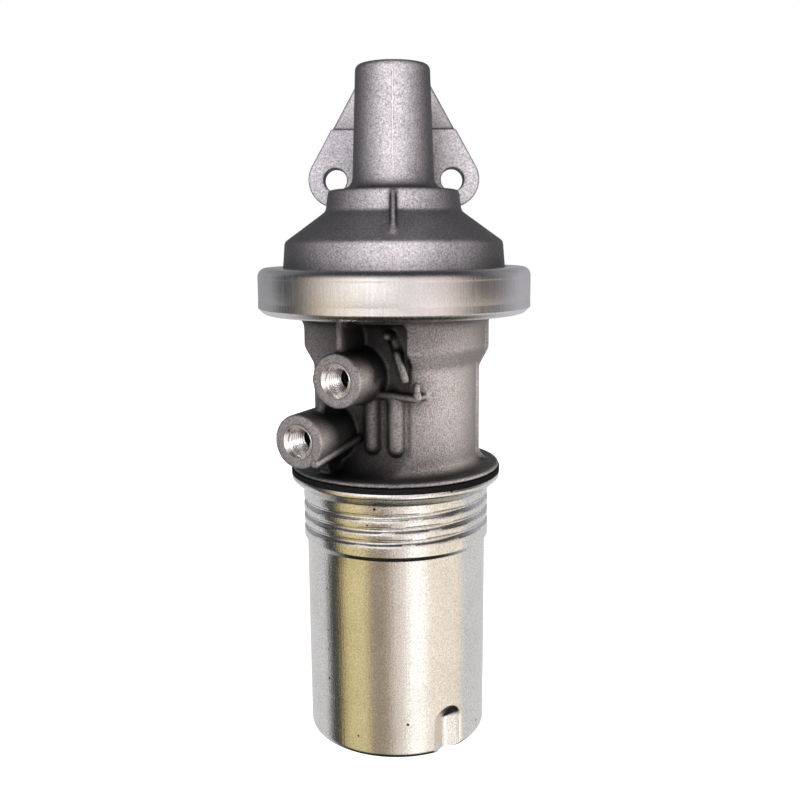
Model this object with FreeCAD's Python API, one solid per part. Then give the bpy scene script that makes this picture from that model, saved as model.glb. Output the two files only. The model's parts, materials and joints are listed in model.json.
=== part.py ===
"""Mechanical fuel pump with a screw-on filter canister, piece by piece, in millimetres."""
import FreeCAD, Part
import math
import os

from FreeCAD import Vector

# The pump axis stands upright. Heights count from the two mounting bolts, sizes are radii
# where they say radius, and the front of the pump looks towards -Y.
AXIS_TO_MOUNT = 58.0
WALL = 3.5
RUN_FIT = 0.05
SLIP = 0.3
PAST = 1.0
WIRE_SIDES = 8

# Rocker housing
TOWER_TOP = 42.3
TOWER_TOP_RADIUS = 15.1
TOWER_FOOT_RADIUS = 16.9
TOWER_BORE_RADIUS = 11.5
TOWER_CROWN = 4.0
TOWER_TOP_EDGE = 2.2
TOWER_FOOT_FILLET = 5.0
SHOULDER_TOP = -7.1
SHOULDER_RADIUS = 27.4
SHOULDER_HEIGHT = 8.4
SHOULDER_SLOPE = 0.7
SHOULDER_DRAFT = 0.6
CONE_HEIGHT = 12.3
RIM_HEIGHT = 10.3
RIM_DRAFT = 1.0
RIM_GAP = 1.0
RIM_WALL = 4.0
CAST_EDGE = 1.5
CAST_FILLET = 2.0
FINE_EDGE = 0.8
WEB_TOP = -4.0
GUIDE_LENGTH = 5.5
SEAL_HEIGHT = 4.5
SEAL_RADIUS = 9.5
SPRING_ROOM_RADIUS = 23.5
FRONT_RIB_WIDTH = 2.2
FRONT_RIB_OUT = 2.2
FRONT_RIB_DROP = 2.4
FRONT_RIB_REACH = 0.83
ROOT = 6.0

# Mounting flange, seen from the back
BOLT_SPACING = 53.4
BOLT_HOLE_RADIUS = 5.25
EAR_RADIUS = 12.4
FLANGE_TOP_RADIUS = 19.8
FLANGE_TOP_CENTRE = 32.2
FLANGE_THICK = 12.7
FLANGE_TOP_THICK = 7.0
FLANGE_STEP = 22.6
TUNNEL_HALF_WIDTH = 11.0
TUNNEL_TOP = 16.0
TUNNEL_FLOOR = -7.0
TUNNEL_EDGE = 4.5

# Rocker arm and its pin
PIN_BACK = 34.0
PIN_HEIGHT = 4.0
PIN_RADIUS = 4.0
PIN_BOSS_RADIUS = 8.5
PIN_BOSS_OUT = 17.5
PIN_PLUG_THICK = 1.8
BUSHING_WALL = 2.0
ARM_HUB_RADIUS = 8.6
ARM_NOSE_RADIUS = 4.5
ARM_FINGER_RADIUS = 2.9
ARM_FINGER_DROP = 1.4
ARM_FORK_HALF_WIDTH = 9.5
ARM_SLOT_HALF_WIDTH = 3.6
ARM_SLOT_WEB = 4.0
ARM_REACH = 46.0
ARM_END_RADIUS = 4.5
ARM_RISE = 5.0
ARM_BLADE_HALF_WIDTH = 5.5
PAD_HALF_WIDTH = 7.5
PAD_LENGTH = 13.0
PAD_RADIUS = 5.5

# Pull rod, its springs and the diaphragm
STROKE = 4.0
ROD_RADIUS = 4.0
ROD_NECK_RADIUS = 3.0
ROD_HEAD_RADIUS = 6.4
ROD_HEAD_HEIGHT = 3.0
ROD_TAIL_RADIUS = 3.0
ROD_COLLAR_HEIGHT = 3.0
ROD_NUT_HEIGHT = 3.0
ROD_NUT_RADIUS = 5.2
ROD_TAIL_OUT = 0.4
WASHER_THICK = 1.2
WASHER_RADIUS = 8.0
SEAT_THICK = 1.5
SEAT_COLLAR = 0.9
SEAL_LIP_WIDTH = 1.6
SEAL_LIP_HEIGHT = 1.0
RETAINER_GAP = 1.0
RETURN_SPRING_RADIUS = 9.2
RETURN_WIRE = 1.1
RETURN_TURNS = 6
RETAINER_THICK = 1.2
RETAINER_RADIUS = 18.0
DIAPHRAGM_SPRING_RADIUS = 15.0
DIAPHRAGM_WIRE = 1.5
DIAPHRAGM_TURNS = 5
DIAPHRAGM_THICK = 0.8
DIAPHRAGM_FLAT = 0.6
PLATE_GAP = 6.0
PLATE_THICK = 1.6
PLATE_LIP = 1.6
PLATE_FLARE = 1.4

# Crimp ring, which holds both castings and the diaphragm together
RING_RADIUS = 56.4
RING_HEIGHT = 19.0
RING_WALL = 1.2
RING_CORNER = 3.3
RING_LOW_CORNER = 4.4
RING_TOP_LIP = 9.4
RING_LOW_LIP = 12.4
FLANGE_EDGE_HEIGHT = 8.0

# Valve body
NECK_GAP = 0.6
NECK_WALL = 4.8
NECK_FILLET = 5.6
NECK_LENGTH = 13.5
COLLAR_DROP = 0.4
TAPER_LENGTH = 7.2
BARREL_RADIUS = 34.0
BARREL_LENGTH = 42.2
DISC_THICK = 2.0
DISC_FILLET = 4.0
CHAMBER_DEPTH = 9.4
CHAMBER_SIDE = 3.0
FACET_FROM_AXIS = 25.7
FACET_TOP_FILLET = 5.0
FACET_LOW_FILLET = 10.0
SEAM_RIB_OUT = 1.9
SEAM_RIB_WIDTH = 2.4
SEAM_RIB_FLARE = 2.0
SEAM_RIB_TOP = 4.0
SEAM_RIB_LAG = 1.6
SEAM_GAP = 0.1

# Ports, both turned to the left of the front
PORT_TURN = 29.5
PORT_FACE_RADIUS = 10.9
PORT_DRAFT = 0.03
PORT_BORE_RADIUS = 5.55
PORT_THREAD_LENGTH = 14.0
PORT_CHAMFER_RADIUS = 6.65
PASSAGE_RADIUS = 4.2
INLET_DROP = 23.3
INLET_REACH = 45.75
OUTLET_RISE = 15.3
OUTLET_REACH = 50.8
OUTLET_OFFSET = 14.8

# Webs and small cast ribs on the front left face. Right is along it, and up is from the inlet port.
WEB_RIB_WIDTH = 2.3
WEB_RIB_GAP = 0.4
TIE_RADIUS = 1.7
TIE_TOP = (-9.0, 38.0, -6.0)
TIE_LOW = (-12.0, 40.0, 9.0)
STRUT_WIDTH = 5.0
STRUT_RIGHT = -11.8
STRUT_TOP_BACK = 9.0
STRUT_FOOT_OUT = 11.0
DOT_RADIUS = 2.1
DOT_RIGHT = 13.8
DOT_UP = 16.6
DOT_OUT = 4.6
RIDGE_RADIUS = 2.2
RIDGE_TOP = (14.4, -0.4, 15.0)
RIDGE_LOW = (17.2, 0.0, 9.0)
FINGER_RADIUS = 1.9
FINGER_TOP = (17.2, 2.6, 9.4)
FINGER_LOW = (20.8, 3.0, -0.4)
SHELF_THICK = 2.5
SHELF_DROP = 8.6
SHELF_RIGHT = 16.6
SHELF_LENGTH = 21.0
SHELF_OUT = 4.0
SHELF_EDGE = 1.1
TAB_RADIUS = 1.5
TAB_LOW = (26.2, 3.0, -7.3)
TAB_TOP = (25.8, 2.4, -2.4)
COLUMN_RADIUS = 3.7
COLUMN_RIGHT = (4.6, 15.6)
COLUMN_OUT = 0.4
COLUMN_FOOT = 11.5

# Inlet and outlet valve
VALVE_POCKET_RADIUS = 10.5
VALVE_POCKET_DEPTH = 10.0
INLET_VALVE_OUT = 12.0
VALVE_EDGE_GAP = 2.5
VALVE_GASKET_THICK = 0.5
VALVE_GASKET_WIDTH = 2.4
VALVE_SEAT_THICK = 2.0
VALVE_DISC_RADIUS = 7.2
VALVE_DISC_THICK = 1.2
VALVE_STEM_RADIUS = 1.4
VALVE_CAGE_HEIGHT = 7.0
VALVE_CAGE_WALL = 0.8
VALVE_CAGE_PLATE = 1.2
VALVE_WIRE = 0.3
VALVE_SPRING_RADIUS = 2.6
VALVE_TURNS = 4
VALVE_PORTS = 5
VALVE_PORT_RADIUS = 1.7
VALVE_PORT_CIRCLE = 4.8
VALVE_CAGE_CIRCLE = 5.8
VALVE_FLOW_RADIUS = 7.0
OUTLET_FLOW_RADIUS = 5.0

# Threaded skirt, standpipe and canister gasket
SKIRT_RADIUS = 36.9
SKIRT_BORE_RADIUS = 33.2
SKIRT_LENGTH = 27.0
SKIRT_THREAD_SINK = 0.4
SKIRT_THREAD_GAP = 0.6
STANDPIPE_RADIUS = 4.75
STANDPIPE_BORE_RADIUS = 3.4
STANDPIPE_LENGTH = 31.0
STANDPIPE_FLANGE = 3.0
CLEAN_ROOM_RADIUS = 12.4
CLEAN_ROOM_HEIGHT = 24.0
GASKET_THICK = 2.1
GASKET_PROUD = 0.1
DISC_SET_IN = 0.3
GASKET_INSIDE_GAP = 0.5

# Canister of drawn sheet with a rolled thread
SHEET = 0.8
LIP_OUT = 4.8
LIP_HEIGHT = 2.8
LIP_CORNER = 1.0
LIP_SLOPE = 2.0
CANISTER_NECK_OUT = 0.5
CANISTER_NECK_HEIGHT = 2.8
CANISTER_NECK_TAPER = 0.8
CREST_RADIUS = 39.5
THREAD_PITCH = 5.2
THREAD_TURNS = 3
THREAD_FLAT = 1.0
THREAD_DEPTH = 1.2
THREAD_CLEARANCE = 0.4
THREAD_TOP_GAP = 1.8
THREAD_LOW_GAP = 3.1
THREAD_START_TURN = 90.0
STEP_HEIGHT = 2.4
CANISTER_RADIUS = 38.2
CANISTER_FOOT_RADIUS = 38.0
CANISTER_LENGTH = 114.0
CANISTER_CORNER = 2.0
DENT_RADIUS = 7.4
DENT_DEPTH = 4.2
DENT_HEIGHT = 20.6
DENT_TURN = 34.5
DENTS = 2

# Filter inside the canister
FILTER_RADIUS = 31.0
FILTER_TOP_GAP = 6.0
FILTER_SIDE_GAP = 0.2
FILTER_CAP_THICK = 1.0
FILTER_CAP_CORNER = 0.8
FILTER_CAP_RIM = 6.0
PLEATS = 36
PLEAT_DEPTH = 15.0
PLEAT_FOLD = 3.4
CENTRE_TUBE_RADIUS = 11.0
CENTRE_TUBE_WALL = 0.7
TUBE_HOLE_RADIUS = 2.4
TUBE_HOLE_ROWS = 3
TUBE_HOLES = 6
GROMMET_RADIUS = 8.0
GROMMET_HEIGHT = 5.0
GROMMET_LIP = 1.2
GROMMET_TOP = 2.0
CANISTER_SPRING_HEIGHT = 21.4
CANISTER_SPRING_RADIUS = 14.0
CANISTER_WIRE = 1.3
CANISTER_TURNS = 3

# Heights and places that follow from the sizes above
BOLT_X = BOLT_SPACING / 2
TOWER_CEILING = TOWER_TOP - TOWER_CROWN
SHOULDER_LOW = SHOULDER_TOP - SHOULDER_HEIGHT
CONE_LOW = SHOULDER_LOW - CONE_HEIGHT
RING_TOP = CONE_LOW - RIM_HEIGHT
RING_LOW = RING_TOP - RING_HEIGHT
RING_TOP_LIP_RADIUS = RING_RADIUS - RING_TOP_LIP
RING_LOW_LIP_RADIUS = RING_RADIUS - RING_LOW_LIP
RIM_RADIUS = RING_TOP_LIP_RADIUS - RIM_GAP - RIM_DRAFT
COLLAR_RADIUS = RING_LOW_LIP_RADIUS - NECK_GAP
NECK_RADIUS = COLLAR_RADIUS - NECK_FILLET
DIAPHRAGM_ROOM_RADIUS = RIM_RADIUS - RIM_WALL
PLATE_RADIUS = DIAPHRAGM_ROOM_RADIUS - PLATE_GAP
LIP_RADIUS = CREST_RADIUS + LIP_OUT
CANISTER_NECK_RADIUS = CREST_RADIUS + CANISTER_NECK_OUT
GASKET_RADIUS = LIP_RADIUS + GASKET_PROUD
DISC_RADIUS = GASKET_RADIUS - DISC_SET_IN
CHAMBER_FLOOR_RADIUS = NECK_RADIUS - NECK_WALL
OUTLET_VALVE_OUT = CHAMBER_FLOOR_RADIUS - VALVE_POCKET_RADIUS - VALVE_EDGE_GAP
EDGE_TOP = RING_TOP - RING_WALL
EDGE_LOW = RING_LOW + RING_WALL
EDGE_RADIUS = RING_RADIUS - RING_WALL
EDGE_CORNER = RING_CORNER - RING_WALL
EDGE_LOW_CORNER = RING_LOW_CORNER - RING_WALL
COLLAR_LOW = RING_LOW - COLLAR_DROP
CLAMP_TOP = EDGE_TOP - FLANGE_EDGE_HEIGHT
CLAMP_LOW = CLAMP_TOP - DIAPHRAGM_THICK
GUIDE_LOW = WEB_TOP - GUIDE_LENGTH
SEAL_LOW = GUIDE_LOW - SEAL_HEIGHT
RETAINER_LOW = SEAL_LOW - RETAINER_THICK
DISH_TOP = CLAMP_TOP - STROKE / 2
DISH_LOW = DISH_TOP - DIAPHRAGM_THICK
HEAD_LOW = PIN_HEIGHT + ARM_NOSE_RADIUS + RUN_FIT
NECK_LOW = RING_LOW - NECK_LENGTH
TAPER_LOW = NECK_LOW - TAPER_LENGTH
DISC_TOP = TAPER_LOW - BARREL_LENGTH
DISC_LOW = DISC_TOP - DISC_THICK
SKIRT_LOW = DISC_LOW - SKIRT_LENGTH
GASKET_LOW = DISC_LOW - GASKET_THICK
CHAMBER_FLOOR = CLAMP_LOW - CHAMBER_DEPTH
INLET_Z = RING_LOW - INLET_DROP
OUTLET_Z = DISC_TOP + OUTLET_RISE
CANISTER_LOW = GASKET_LOW - CANISTER_LENGTH
CREST_TOP = GASKET_LOW - LIP_HEIGHT - CANISTER_NECK_HEIGHT - CANISTER_NECK_TAPER
THREAD_LOW = CREST_TOP - THREAD_TOP_GAP - THREAD_PITCH * THREAD_TURNS
STEP_TOP = THREAD_LOW - THREAD_LOW_GAP
FILTER_TOP = DISC_LOW - FILTER_TOP_GAP
FILTER_LOW = CANISTER_LOW + SHEET + CANISTER_SPRING_HEIGHT
FILTER_LENGTH = FILTER_TOP - FILTER_LOW
PORT_OUT = Vector(-math.sin(math.radians(PORT_TURN)), -math.cos(math.radians(PORT_TURN)), 0)
PORT_RIGHT = Vector(math.cos(math.radians(PORT_TURN)), -math.sin(math.radians(PORT_TURN)), 0)
UP = Vector(0, 0, 1)


def rounded_wire(corners, place):
    """Closed outline through corners (u, v) or (u, v, radius), each rounded by its radius."""
    ends = []
    for i, corner in enumerate(corners):
        here = Vector(corner[0], corner[1], 0)
        radius = corner[2] if len(corner) > 2 else 0
        before = Vector(corners[i - 1][0], corners[i - 1][1], 0) - here
        after = Vector(*corners[(i + 1) % len(corners)][:2], 0) - here
        ends.append(round_corner(here, before.normalize(), after.normalize(), radius))
    edges = []
    for i, (start, middle, end) in enumerate(ends):
        if middle is not None:
            edges.append(Part.Arc(*[place(p.x, p.y) for p in (start, middle, end)]).toShape())
        following = ends[(i + 1) % len(ends)][0]
        if end.distanceToPoint(following) > 1e-6:
            edges.append(Part.LineSegment(place(end.x, end.y), place(following.x, following.y)).toShape())
    return Part.Wire(edges)


def round_corner(here, before, after, radius):
    """Start, middle and end of the arc that rounds one corner."""
    if radius == 0:
        return here, None, here
    half = math.acos(max(-1, min(1, before.dot(after)))) / 2
    back = radius / math.tan(half)
    inward = (before + after).normalize()
    middle = here + inward * (radius / math.sin(half) - radius)
    return here + before * back, middle, here + after * back


def upright(u, v):
    """Point in the plane through the pump axis, at radius u and height v."""
    return Vector(u, 0, v)


def side_on(u, v):
    """Point in the pump's middle plane, u to the back and v up."""
    return Vector(0, u, v)


def revolved(corners):
    """Solid turned around the pump axis from an outline of radii and heights."""
    return Part.Face(rounded_wire(corners, upright)).revolve(Vector(0, 0, 0), UP, 360)


def ring(outer, inner, low, high):
    """Plain ring, or a disc where inner is 0."""
    disc = Part.makeCylinder(outer, high - low, Vector(0, 0, low))
    if inner == 0:
        return disc
    return disc.cut(Part.makeCylinder(inner, high - low, Vector(0, 0, low)))


def box(x0, x1, y0, y1, z0, z1):
    """Block between two corners."""
    return Part.makeBox(x1 - x0, y1 - y0, z1 - z0, Vector(x0, y0, z0))


def rod_between(start, end, radius, end_radius=None):
    """Round or tapered bar from start to end."""
    along = end - start
    if end_radius is None:
        return Part.makeCylinder(radius, along.Length, start, along)
    return Part.makeCone(radius, end_radius, along.Length, start, along)


def capsule(start, end, radius):
    """Round bar with ball ends."""
    bar = rod_between(start, end, radius)
    return bar.fuse([Part.makeSphere(radius, start), Part.makeSphere(radius, end)])


def belt_wire(circles, place):
    """Outline of a belt around circles (u, v, radius), named anticlockwise."""
    normals = []
    for i, (u, v, radius) in enumerate(circles):
        next_u, next_v, next_radius = circles[(i + 1) % len(circles)]
        span = math.hypot(next_u - u, next_v - v)
        lean = (radius - next_radius) / span
        along = ((next_u - u) / span, (next_v - v) / span)
        side = math.sqrt(1 - lean * lean)
        normals.append((along[0] * lean + along[1] * side, along[1] * lean - along[0] * side))
    edges = []
    for i, (u, v, radius) in enumerate(circles):
        first = math.atan2(normals[i - 1][1], normals[i - 1][0])
        last = math.atan2(normals[i][1], normals[i][0])
        if last < first:
            last += 2 * math.pi
        turns = (first, (first + last) / 2, last)
        points = [place(u + radius * math.cos(t), v + radius * math.sin(t)) for t in turns]
        edges.append(Part.Arc(*points).toShape())
    straights = []
    for i, edge in enumerate(edges):
        start = edge.lastVertex().Point
        end = edges[(i + 1) % len(edges)].firstVertex().Point
        straights.append(Part.LineSegment(start, end).toShape())
    return Part.Wire([piece for pair in zip(edges, straights) for piece in pair])


def belt_along_x(circles, x0, x1):
    """Plate with a belt outline, seen from the side, between two widths."""
    face = Part.Face(belt_wire(circles, side_on))
    face.translate(Vector(x0, 0, 0))
    return face.extrude(Vector(x1 - x0, 0, 0))


def coil(low, high, radius, wire, turns):
    """Compression spring between two heights, its wire drawn eight-sided with a flat up and down."""
    rise = high - low - 2 * wire
    helix = Part.makeHelix(rise / turns, rise, radius)
    corner = wire / math.cos(math.pi / WIRE_SIDES)
    section = []
    for i in range(WIRE_SIDES + 1):
        turn = math.pi * (2 * i + 1) / WIRE_SIDES
        section.append(Vector(radius + corner * math.cos(turn), 0, corner * math.sin(turn)))
    spring = helix.makePipeShell([Part.makePolygon(section)], True, True)
    spring.translate(Vector(0, 0, low + wire))
    return spring


def thread_bar(low_radius, low_half, high_radius, high_half, start):
    """Bar of trapezium section wound right-handed around the pump axis, rising from start."""
    section = [Vector(low_radius, 0, -low_half), Vector(high_radius, 0, -high_half),
               Vector(high_radius, 0, high_half), Vector(low_radius, 0, low_half)]
    helix = Part.makeHelix(THREAD_PITCH, THREAD_PITCH * THREAD_TURNS, low_radius)
    bar = helix.makePipeShell([Part.makePolygon(section + section[:1])], True, True)
    bar.rotate(Vector(0, 0, 0), UP, THREAD_START_TURN)
    bar.translate(Vector(0, 0, start))
    return bar


def holes_on_circle(count, circle, radius, low, high):
    """Upright round tools, evenly spaced on a circle."""
    tools = []
    for i in range(count):
        turn = 2 * math.pi * i / count
        centre = Vector(circle * math.cos(turn), circle * math.sin(turn), low)
        tools.append(Part.makeCylinder(radius, high - low, centre))
    return tools


def housing_outside():
    """Tower, shoulder, cone and clamped edge of the upper casting."""
    return revolved([
        (0, TOWER_TOP), (TOWER_TOP_RADIUS, TOWER_TOP, TOWER_TOP_EDGE),
        (TOWER_FOOT_RADIUS, SHOULDER_TOP + SHOULDER_SLOPE, TOWER_FOOT_FILLET),
        (SHOULDER_RADIUS - SHOULDER_DRAFT, SHOULDER_TOP, CAST_EDGE),
        (SHOULDER_RADIUS + SHOULDER_DRAFT, SHOULDER_LOW, CAST_EDGE),
        (RIM_RADIUS, CONE_LOW, CAST_EDGE), (RIM_RADIUS + RIM_DRAFT, EDGE_TOP, FINE_EDGE),
        (EDGE_RADIUS, EDGE_TOP, EDGE_CORNER), (EDGE_RADIUS, CLAMP_TOP), (0, CLAMP_TOP)])


def housing_inside():
    """Spring room and diaphragm room under the web of the upper casting."""
    return revolved([
        (0, SEAL_LOW), (SPRING_ROOM_RADIUS, SEAL_LOW, CAST_FILLET),
        (SPRING_ROOM_RADIUS, SHOULDER_LOW - WALL, CAST_FILLET),
        (DIAPHRAGM_ROOM_RADIUS, CONE_LOW - WALL, CAST_FILLET), (DIAPHRAGM_ROOM_RADIUS, CLAMP_TOP),
        (0, CLAMP_TOP)])


def mounting_flange():
    """Three-lobed flange plate, thinner at its top."""
    front = AXIS_TO_MOUNT - FLANGE_THICK
    lobes = [(-BOLT_X, 0, EAR_RADIUS), (BOLT_X, 0, EAR_RADIUS), (0, FLANGE_TOP_CENTRE, FLANGE_TOP_RADIUS)]
    face = Part.Face(belt_wire(lobes, lambda u, v: Vector(u, front, v)))
    plate = face.extrude(Vector(0, FLANGE_THICK, 0))
    top = FLANGE_TOP_CENTRE + FLANGE_TOP_RADIUS + PAST
    back = AXIS_TO_MOUNT - FLANGE_TOP_THICK
    return plate.cut(box(-BOLT_SPACING, BOLT_SPACING, front - PAST, back, FLANGE_STEP, top))


def housing_neck():
    """Tunnel walls and pin bosses between the tower and the flange."""
    half = TUNNEL_HALF_WIDTH + WALL
    low = TUNNEL_FLOOR - WALL
    high = TUNNEL_TOP + WALL
    corners = [(u, v, TUNNEL_EDGE) for u, v in ((-half, low), (half, low), (half, high), (-half, high))]
    face = Part.Face(rounded_wire(corners, lambda u, v: Vector(u, 0, v)))
    neck = face.extrude(Vector(0, AXIS_TO_MOUNT - FLANGE_THICK + PAST, 0))
    start = Vector(-PIN_BOSS_OUT, PIN_BACK, PIN_HEIGHT)
    return neck.fuse(rod_between(start, start + Vector(2 * PIN_BOSS_OUT, 0, 0), PIN_BOSS_RADIUS))


def pin_axis(x0, x1, radius):
    """Round solid on the pin's axis between two places across the pump."""
    return rod_between(Vector(x0, PIN_BACK, PIN_HEIGHT), Vector(x1, PIN_BACK, PIN_HEIGHT), radius)


def front_rib():
    """Thin upright rib from the shoulder down over the cone."""
    inner = SHOULDER_RADIUS - ROOT
    top = SHOULDER_TOP - SHOULDER_SLOPE
    foot = SHOULDER_RADIUS + (RIM_RADIUS - SHOULDER_RADIUS) * FRONT_RIB_REACH
    corners = [(inner, top), (SHOULDER_RADIUS, top, FINE_EDGE),
               (SHOULDER_RADIUS + FRONT_RIB_OUT, top - FRONT_RIB_DROP, FINE_EDGE),
               (foot, CONE_LOW + WALL / 2), (inner, SHOULDER_LOW - PAST)]
    face = Part.Face(rounded_wire(corners, lambda u, v: Vector(-FRONT_RIB_WIDTH / 2, -u, v)))
    return face.extrude(Vector(FRONT_RIB_WIDTH, 0, 0))


def rocker_housing():
    """Upper casting: tower, cone, arm tunnel and mounting flange in one piece."""
    half = TUNNEL_HALF_WIDTH
    back = AXIS_TO_MOUNT + PAST
    casting = housing_outside().fuse([housing_neck(), mounting_flange(), front_rib()])
    tools = [
        housing_inside(),
        ring(TOWER_BORE_RADIUS, 0, WEB_TOP, TOWER_CEILING),
        box(-half, half, 0, PIN_BACK - ARM_HUB_RADIUS, WEB_TOP, TUNNEL_TOP),
        box(-half, half, PIN_BACK - ARM_HUB_RADIUS - PAST, back, TUNNEL_FLOOR, TUNNEL_TOP),
        ring(ROD_RADIUS + RUN_FIT, 0, GUIDE_LOW, WEB_TOP),
        ring(SEAL_RADIUS, 0, SEAL_LOW, GUIDE_LOW),
        pin_axis(-PIN_BOSS_OUT, PIN_BOSS_OUT, PIN_RADIUS)]
    for side in (-1, 1):
        outer = side * PIN_BOSS_OUT
        tools.append(pin_axis(outer, outer - side * (PIN_PLUG_THICK + SLIP), PIN_RADIUS + BUSHING_WALL))
        hole = Vector(side * BOLT_X, back - FLANGE_THICK - 2 * PAST, 0)
        tools.append(rod_between(hole, hole + Vector(0, FLANGE_THICK + 2 * PAST, 0), BOLT_HOLE_RADIUS))
    return casting.cut(tools)


def rocker_arm():
    """Forged arm: fork under the rod head, hub on the pin, blade and cam pad behind the flange."""
    hub = (PIN_BACK, PIN_HEIGHT, ARM_HUB_RADIUS)
    finger = [(0, PIN_HEIGHT - ARM_FINGER_DROP, ARM_FINGER_RADIUS), hub]
    width = ARM_FORK_HALF_WIDTH
    fork = belt_along_x(finger, -width, width)
    nose = rod_between(Vector(-width, 0, PIN_HEIGHT), Vector(width, 0, PIN_HEIGHT), ARM_NOSE_RADIUS)
    back = AXIS_TO_MOUNT + ARM_REACH
    high = PIN_HEIGHT + ARM_RISE
    blade = belt_along_x([hub, (back, high, ARM_END_RADIUS)], -ARM_BLADE_HALF_WIDTH, ARM_BLADE_HALF_WIDTH)
    ends = [(back - PAD_LENGTH, high, PAD_RADIUS), (back, high + PAD_RADIUS - ARM_END_RADIUS, PAD_RADIUS)]
    pad = belt_along_x(ends, -PAD_HALF_WIDTH, PAD_HALF_WIDTH)
    half = TUNNEL_HALF_WIDTH - SLIP
    arm = fork.fuse([nose, blade, pad, pin_axis(-half, half, ARM_HUB_RADIUS)])
    tall = 2 * ARM_HUB_RADIUS
    slot_end = PIN_BACK - ARM_HUB_RADIUS - ARM_SLOT_WEB
    slot = box(-ARM_SLOT_HALF_WIDTH, ARM_SLOT_HALF_WIDTH, -ARM_HUB_RADIUS, slot_end, -tall, tall)
    return arm.cut([slot, pin_axis(-half, half, PIN_RADIUS + BUSHING_WALL)])


def arm_bushing():
    """Bronze bush pressed into the arm's hub."""
    half = TUNNEL_HALF_WIDTH - SLIP
    return pin_axis(-half, half, PIN_RADIUS + BUSHING_WALL).cut(pin_axis(-half, half, PIN_RADIUS + RUN_FIT))


def rocker_pin():
    """Pin across the tunnel, its ends in the two bosses."""
    half = PIN_BOSS_OUT - PIN_PLUG_THICK - SLIP
    return pin_axis(-half, half, PIN_RADIUS)


def pin_plug(side):
    """Round plug that closes one end of the pin's hole."""
    outer = side * PIN_BOSS_OUT
    return pin_axis(outer, outer - side * (PIN_PLUG_THICK + SLIP), PIN_RADIUS + BUSHING_WALL)


def spring_seat():
    """Collared ring that the return spring presses on the fork."""
    bore = ROD_HEAD_RADIUS + SLIP
    collar = bore + SEAT_COLLAR
    edge = TOWER_BORE_RADIUS - 2 * SLIP
    top = HEAD_LOW + ROD_HEAD_HEIGHT
    return revolved([
        (bore, HEAD_LOW), (edge, HEAD_LOW), (edge, HEAD_LOW + SEAT_THICK), (collar, HEAD_LOW + SEAT_THICK),
        (collar, top), (bore, top)])


def return_spring():
    """Spring in the tower that keeps the arm on its cam."""
    return coil(HEAD_LOW + SEAT_THICK, TOWER_CEILING, RETURN_SPRING_RADIUS, RETURN_WIRE, RETURN_TURNS)


def pull_rod():
    """Turned rod from the fork down through the seal to the diaphragm."""
    tail_low = DISH_LOW - PLATE_THICK - WASHER_THICK - ROD_NUT_HEIGHT - ROD_TAIL_OUT
    collar_low = DISH_TOP + PLATE_THICK
    collar_top = collar_low + ROD_COLLAR_HEIGHT
    return revolved([
        (0, HEAD_LOW + ROD_HEAD_HEIGHT), (ROD_HEAD_RADIUS, HEAD_LOW + ROD_HEAD_HEIGHT, FINE_EDGE),
        (ROD_HEAD_RADIUS, HEAD_LOW), (ROD_NECK_RADIUS, HEAD_LOW), (ROD_NECK_RADIUS, WEB_TOP),
        (ROD_RADIUS, WEB_TOP), (ROD_RADIUS, collar_top), (WASHER_RADIUS, collar_top, FINE_EDGE),
        (WASHER_RADIUS, collar_low), (ROD_TAIL_RADIUS, collar_low), (ROD_TAIL_RADIUS, tail_low),
        (0, tail_low)])


def oil_seal():
    """Lip seal around the rod, in its pocket under the web."""
    return revolved([
        (ROD_RADIUS + RUN_FIT, SEAL_LOW + SEAL_LIP_HEIGHT), (ROD_RADIUS + SEAL_LIP_WIDTH, SEAL_LOW),
        (SEAL_RADIUS, SEAL_LOW), (SEAL_RADIUS, GUIDE_LOW), (ROD_RADIUS + RUN_FIT, GUIDE_LOW)])


def seal_retainer():
    """Washer that holds the seal up, with the diaphragm spring under it."""
    return ring(RETAINER_RADIUS, ROD_RADIUS + RETAINER_GAP, RETAINER_LOW, SEAL_LOW)


def diaphragm_spring():
    """Spring that pushes the diaphragm down."""
    low = DISH_TOP + PLATE_THICK
    return coil(low, RETAINER_LOW, DIAPHRAGM_SPRING_RADIUS, DIAPHRAGM_WIRE, DIAPHRAGM_TURNS)


def diaphragm_plate(face, way):
    """Dished steel plate on one side of the diaphragm, its lip turned away from it."""
    far = face + way * PLATE_THICK
    lip = far + way * PLATE_LIP
    return revolved([
        (ROD_TAIL_RADIUS, face), (PLATE_RADIUS, face, FINE_EDGE), (PLATE_RADIUS + PLATE_FLARE, lip),
        (PLATE_RADIUS + PLATE_FLARE - PLATE_THICK, lip), (PLATE_RADIUS - PLATE_THICK, far),
        (ROD_TAIL_RADIUS, far)])


def diaphragm():
    """Reinforced rubber sheet, clamped at its edge and dished at rest."""
    bend_in = PLATE_RADIUS + DIAPHRAGM_FLAT
    bend_out = DIAPHRAGM_ROOM_RADIUS - DIAPHRAGM_FLAT
    return revolved([
        (ROD_TAIL_RADIUS, DISH_TOP), (bend_in, DISH_TOP), (bend_out, CLAMP_TOP), (EDGE_RADIUS, CLAMP_TOP),
        (EDGE_RADIUS, CLAMP_LOW), (bend_out, CLAMP_LOW), (bend_in, DISH_LOW), (ROD_TAIL_RADIUS, DISH_LOW)])


def rod_washer():
    """Washer under the lower plate."""
    high = DISH_LOW - PLATE_THICK
    return ring(WASHER_RADIUS, ROD_TAIL_RADIUS, high - WASHER_THICK, high)


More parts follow.
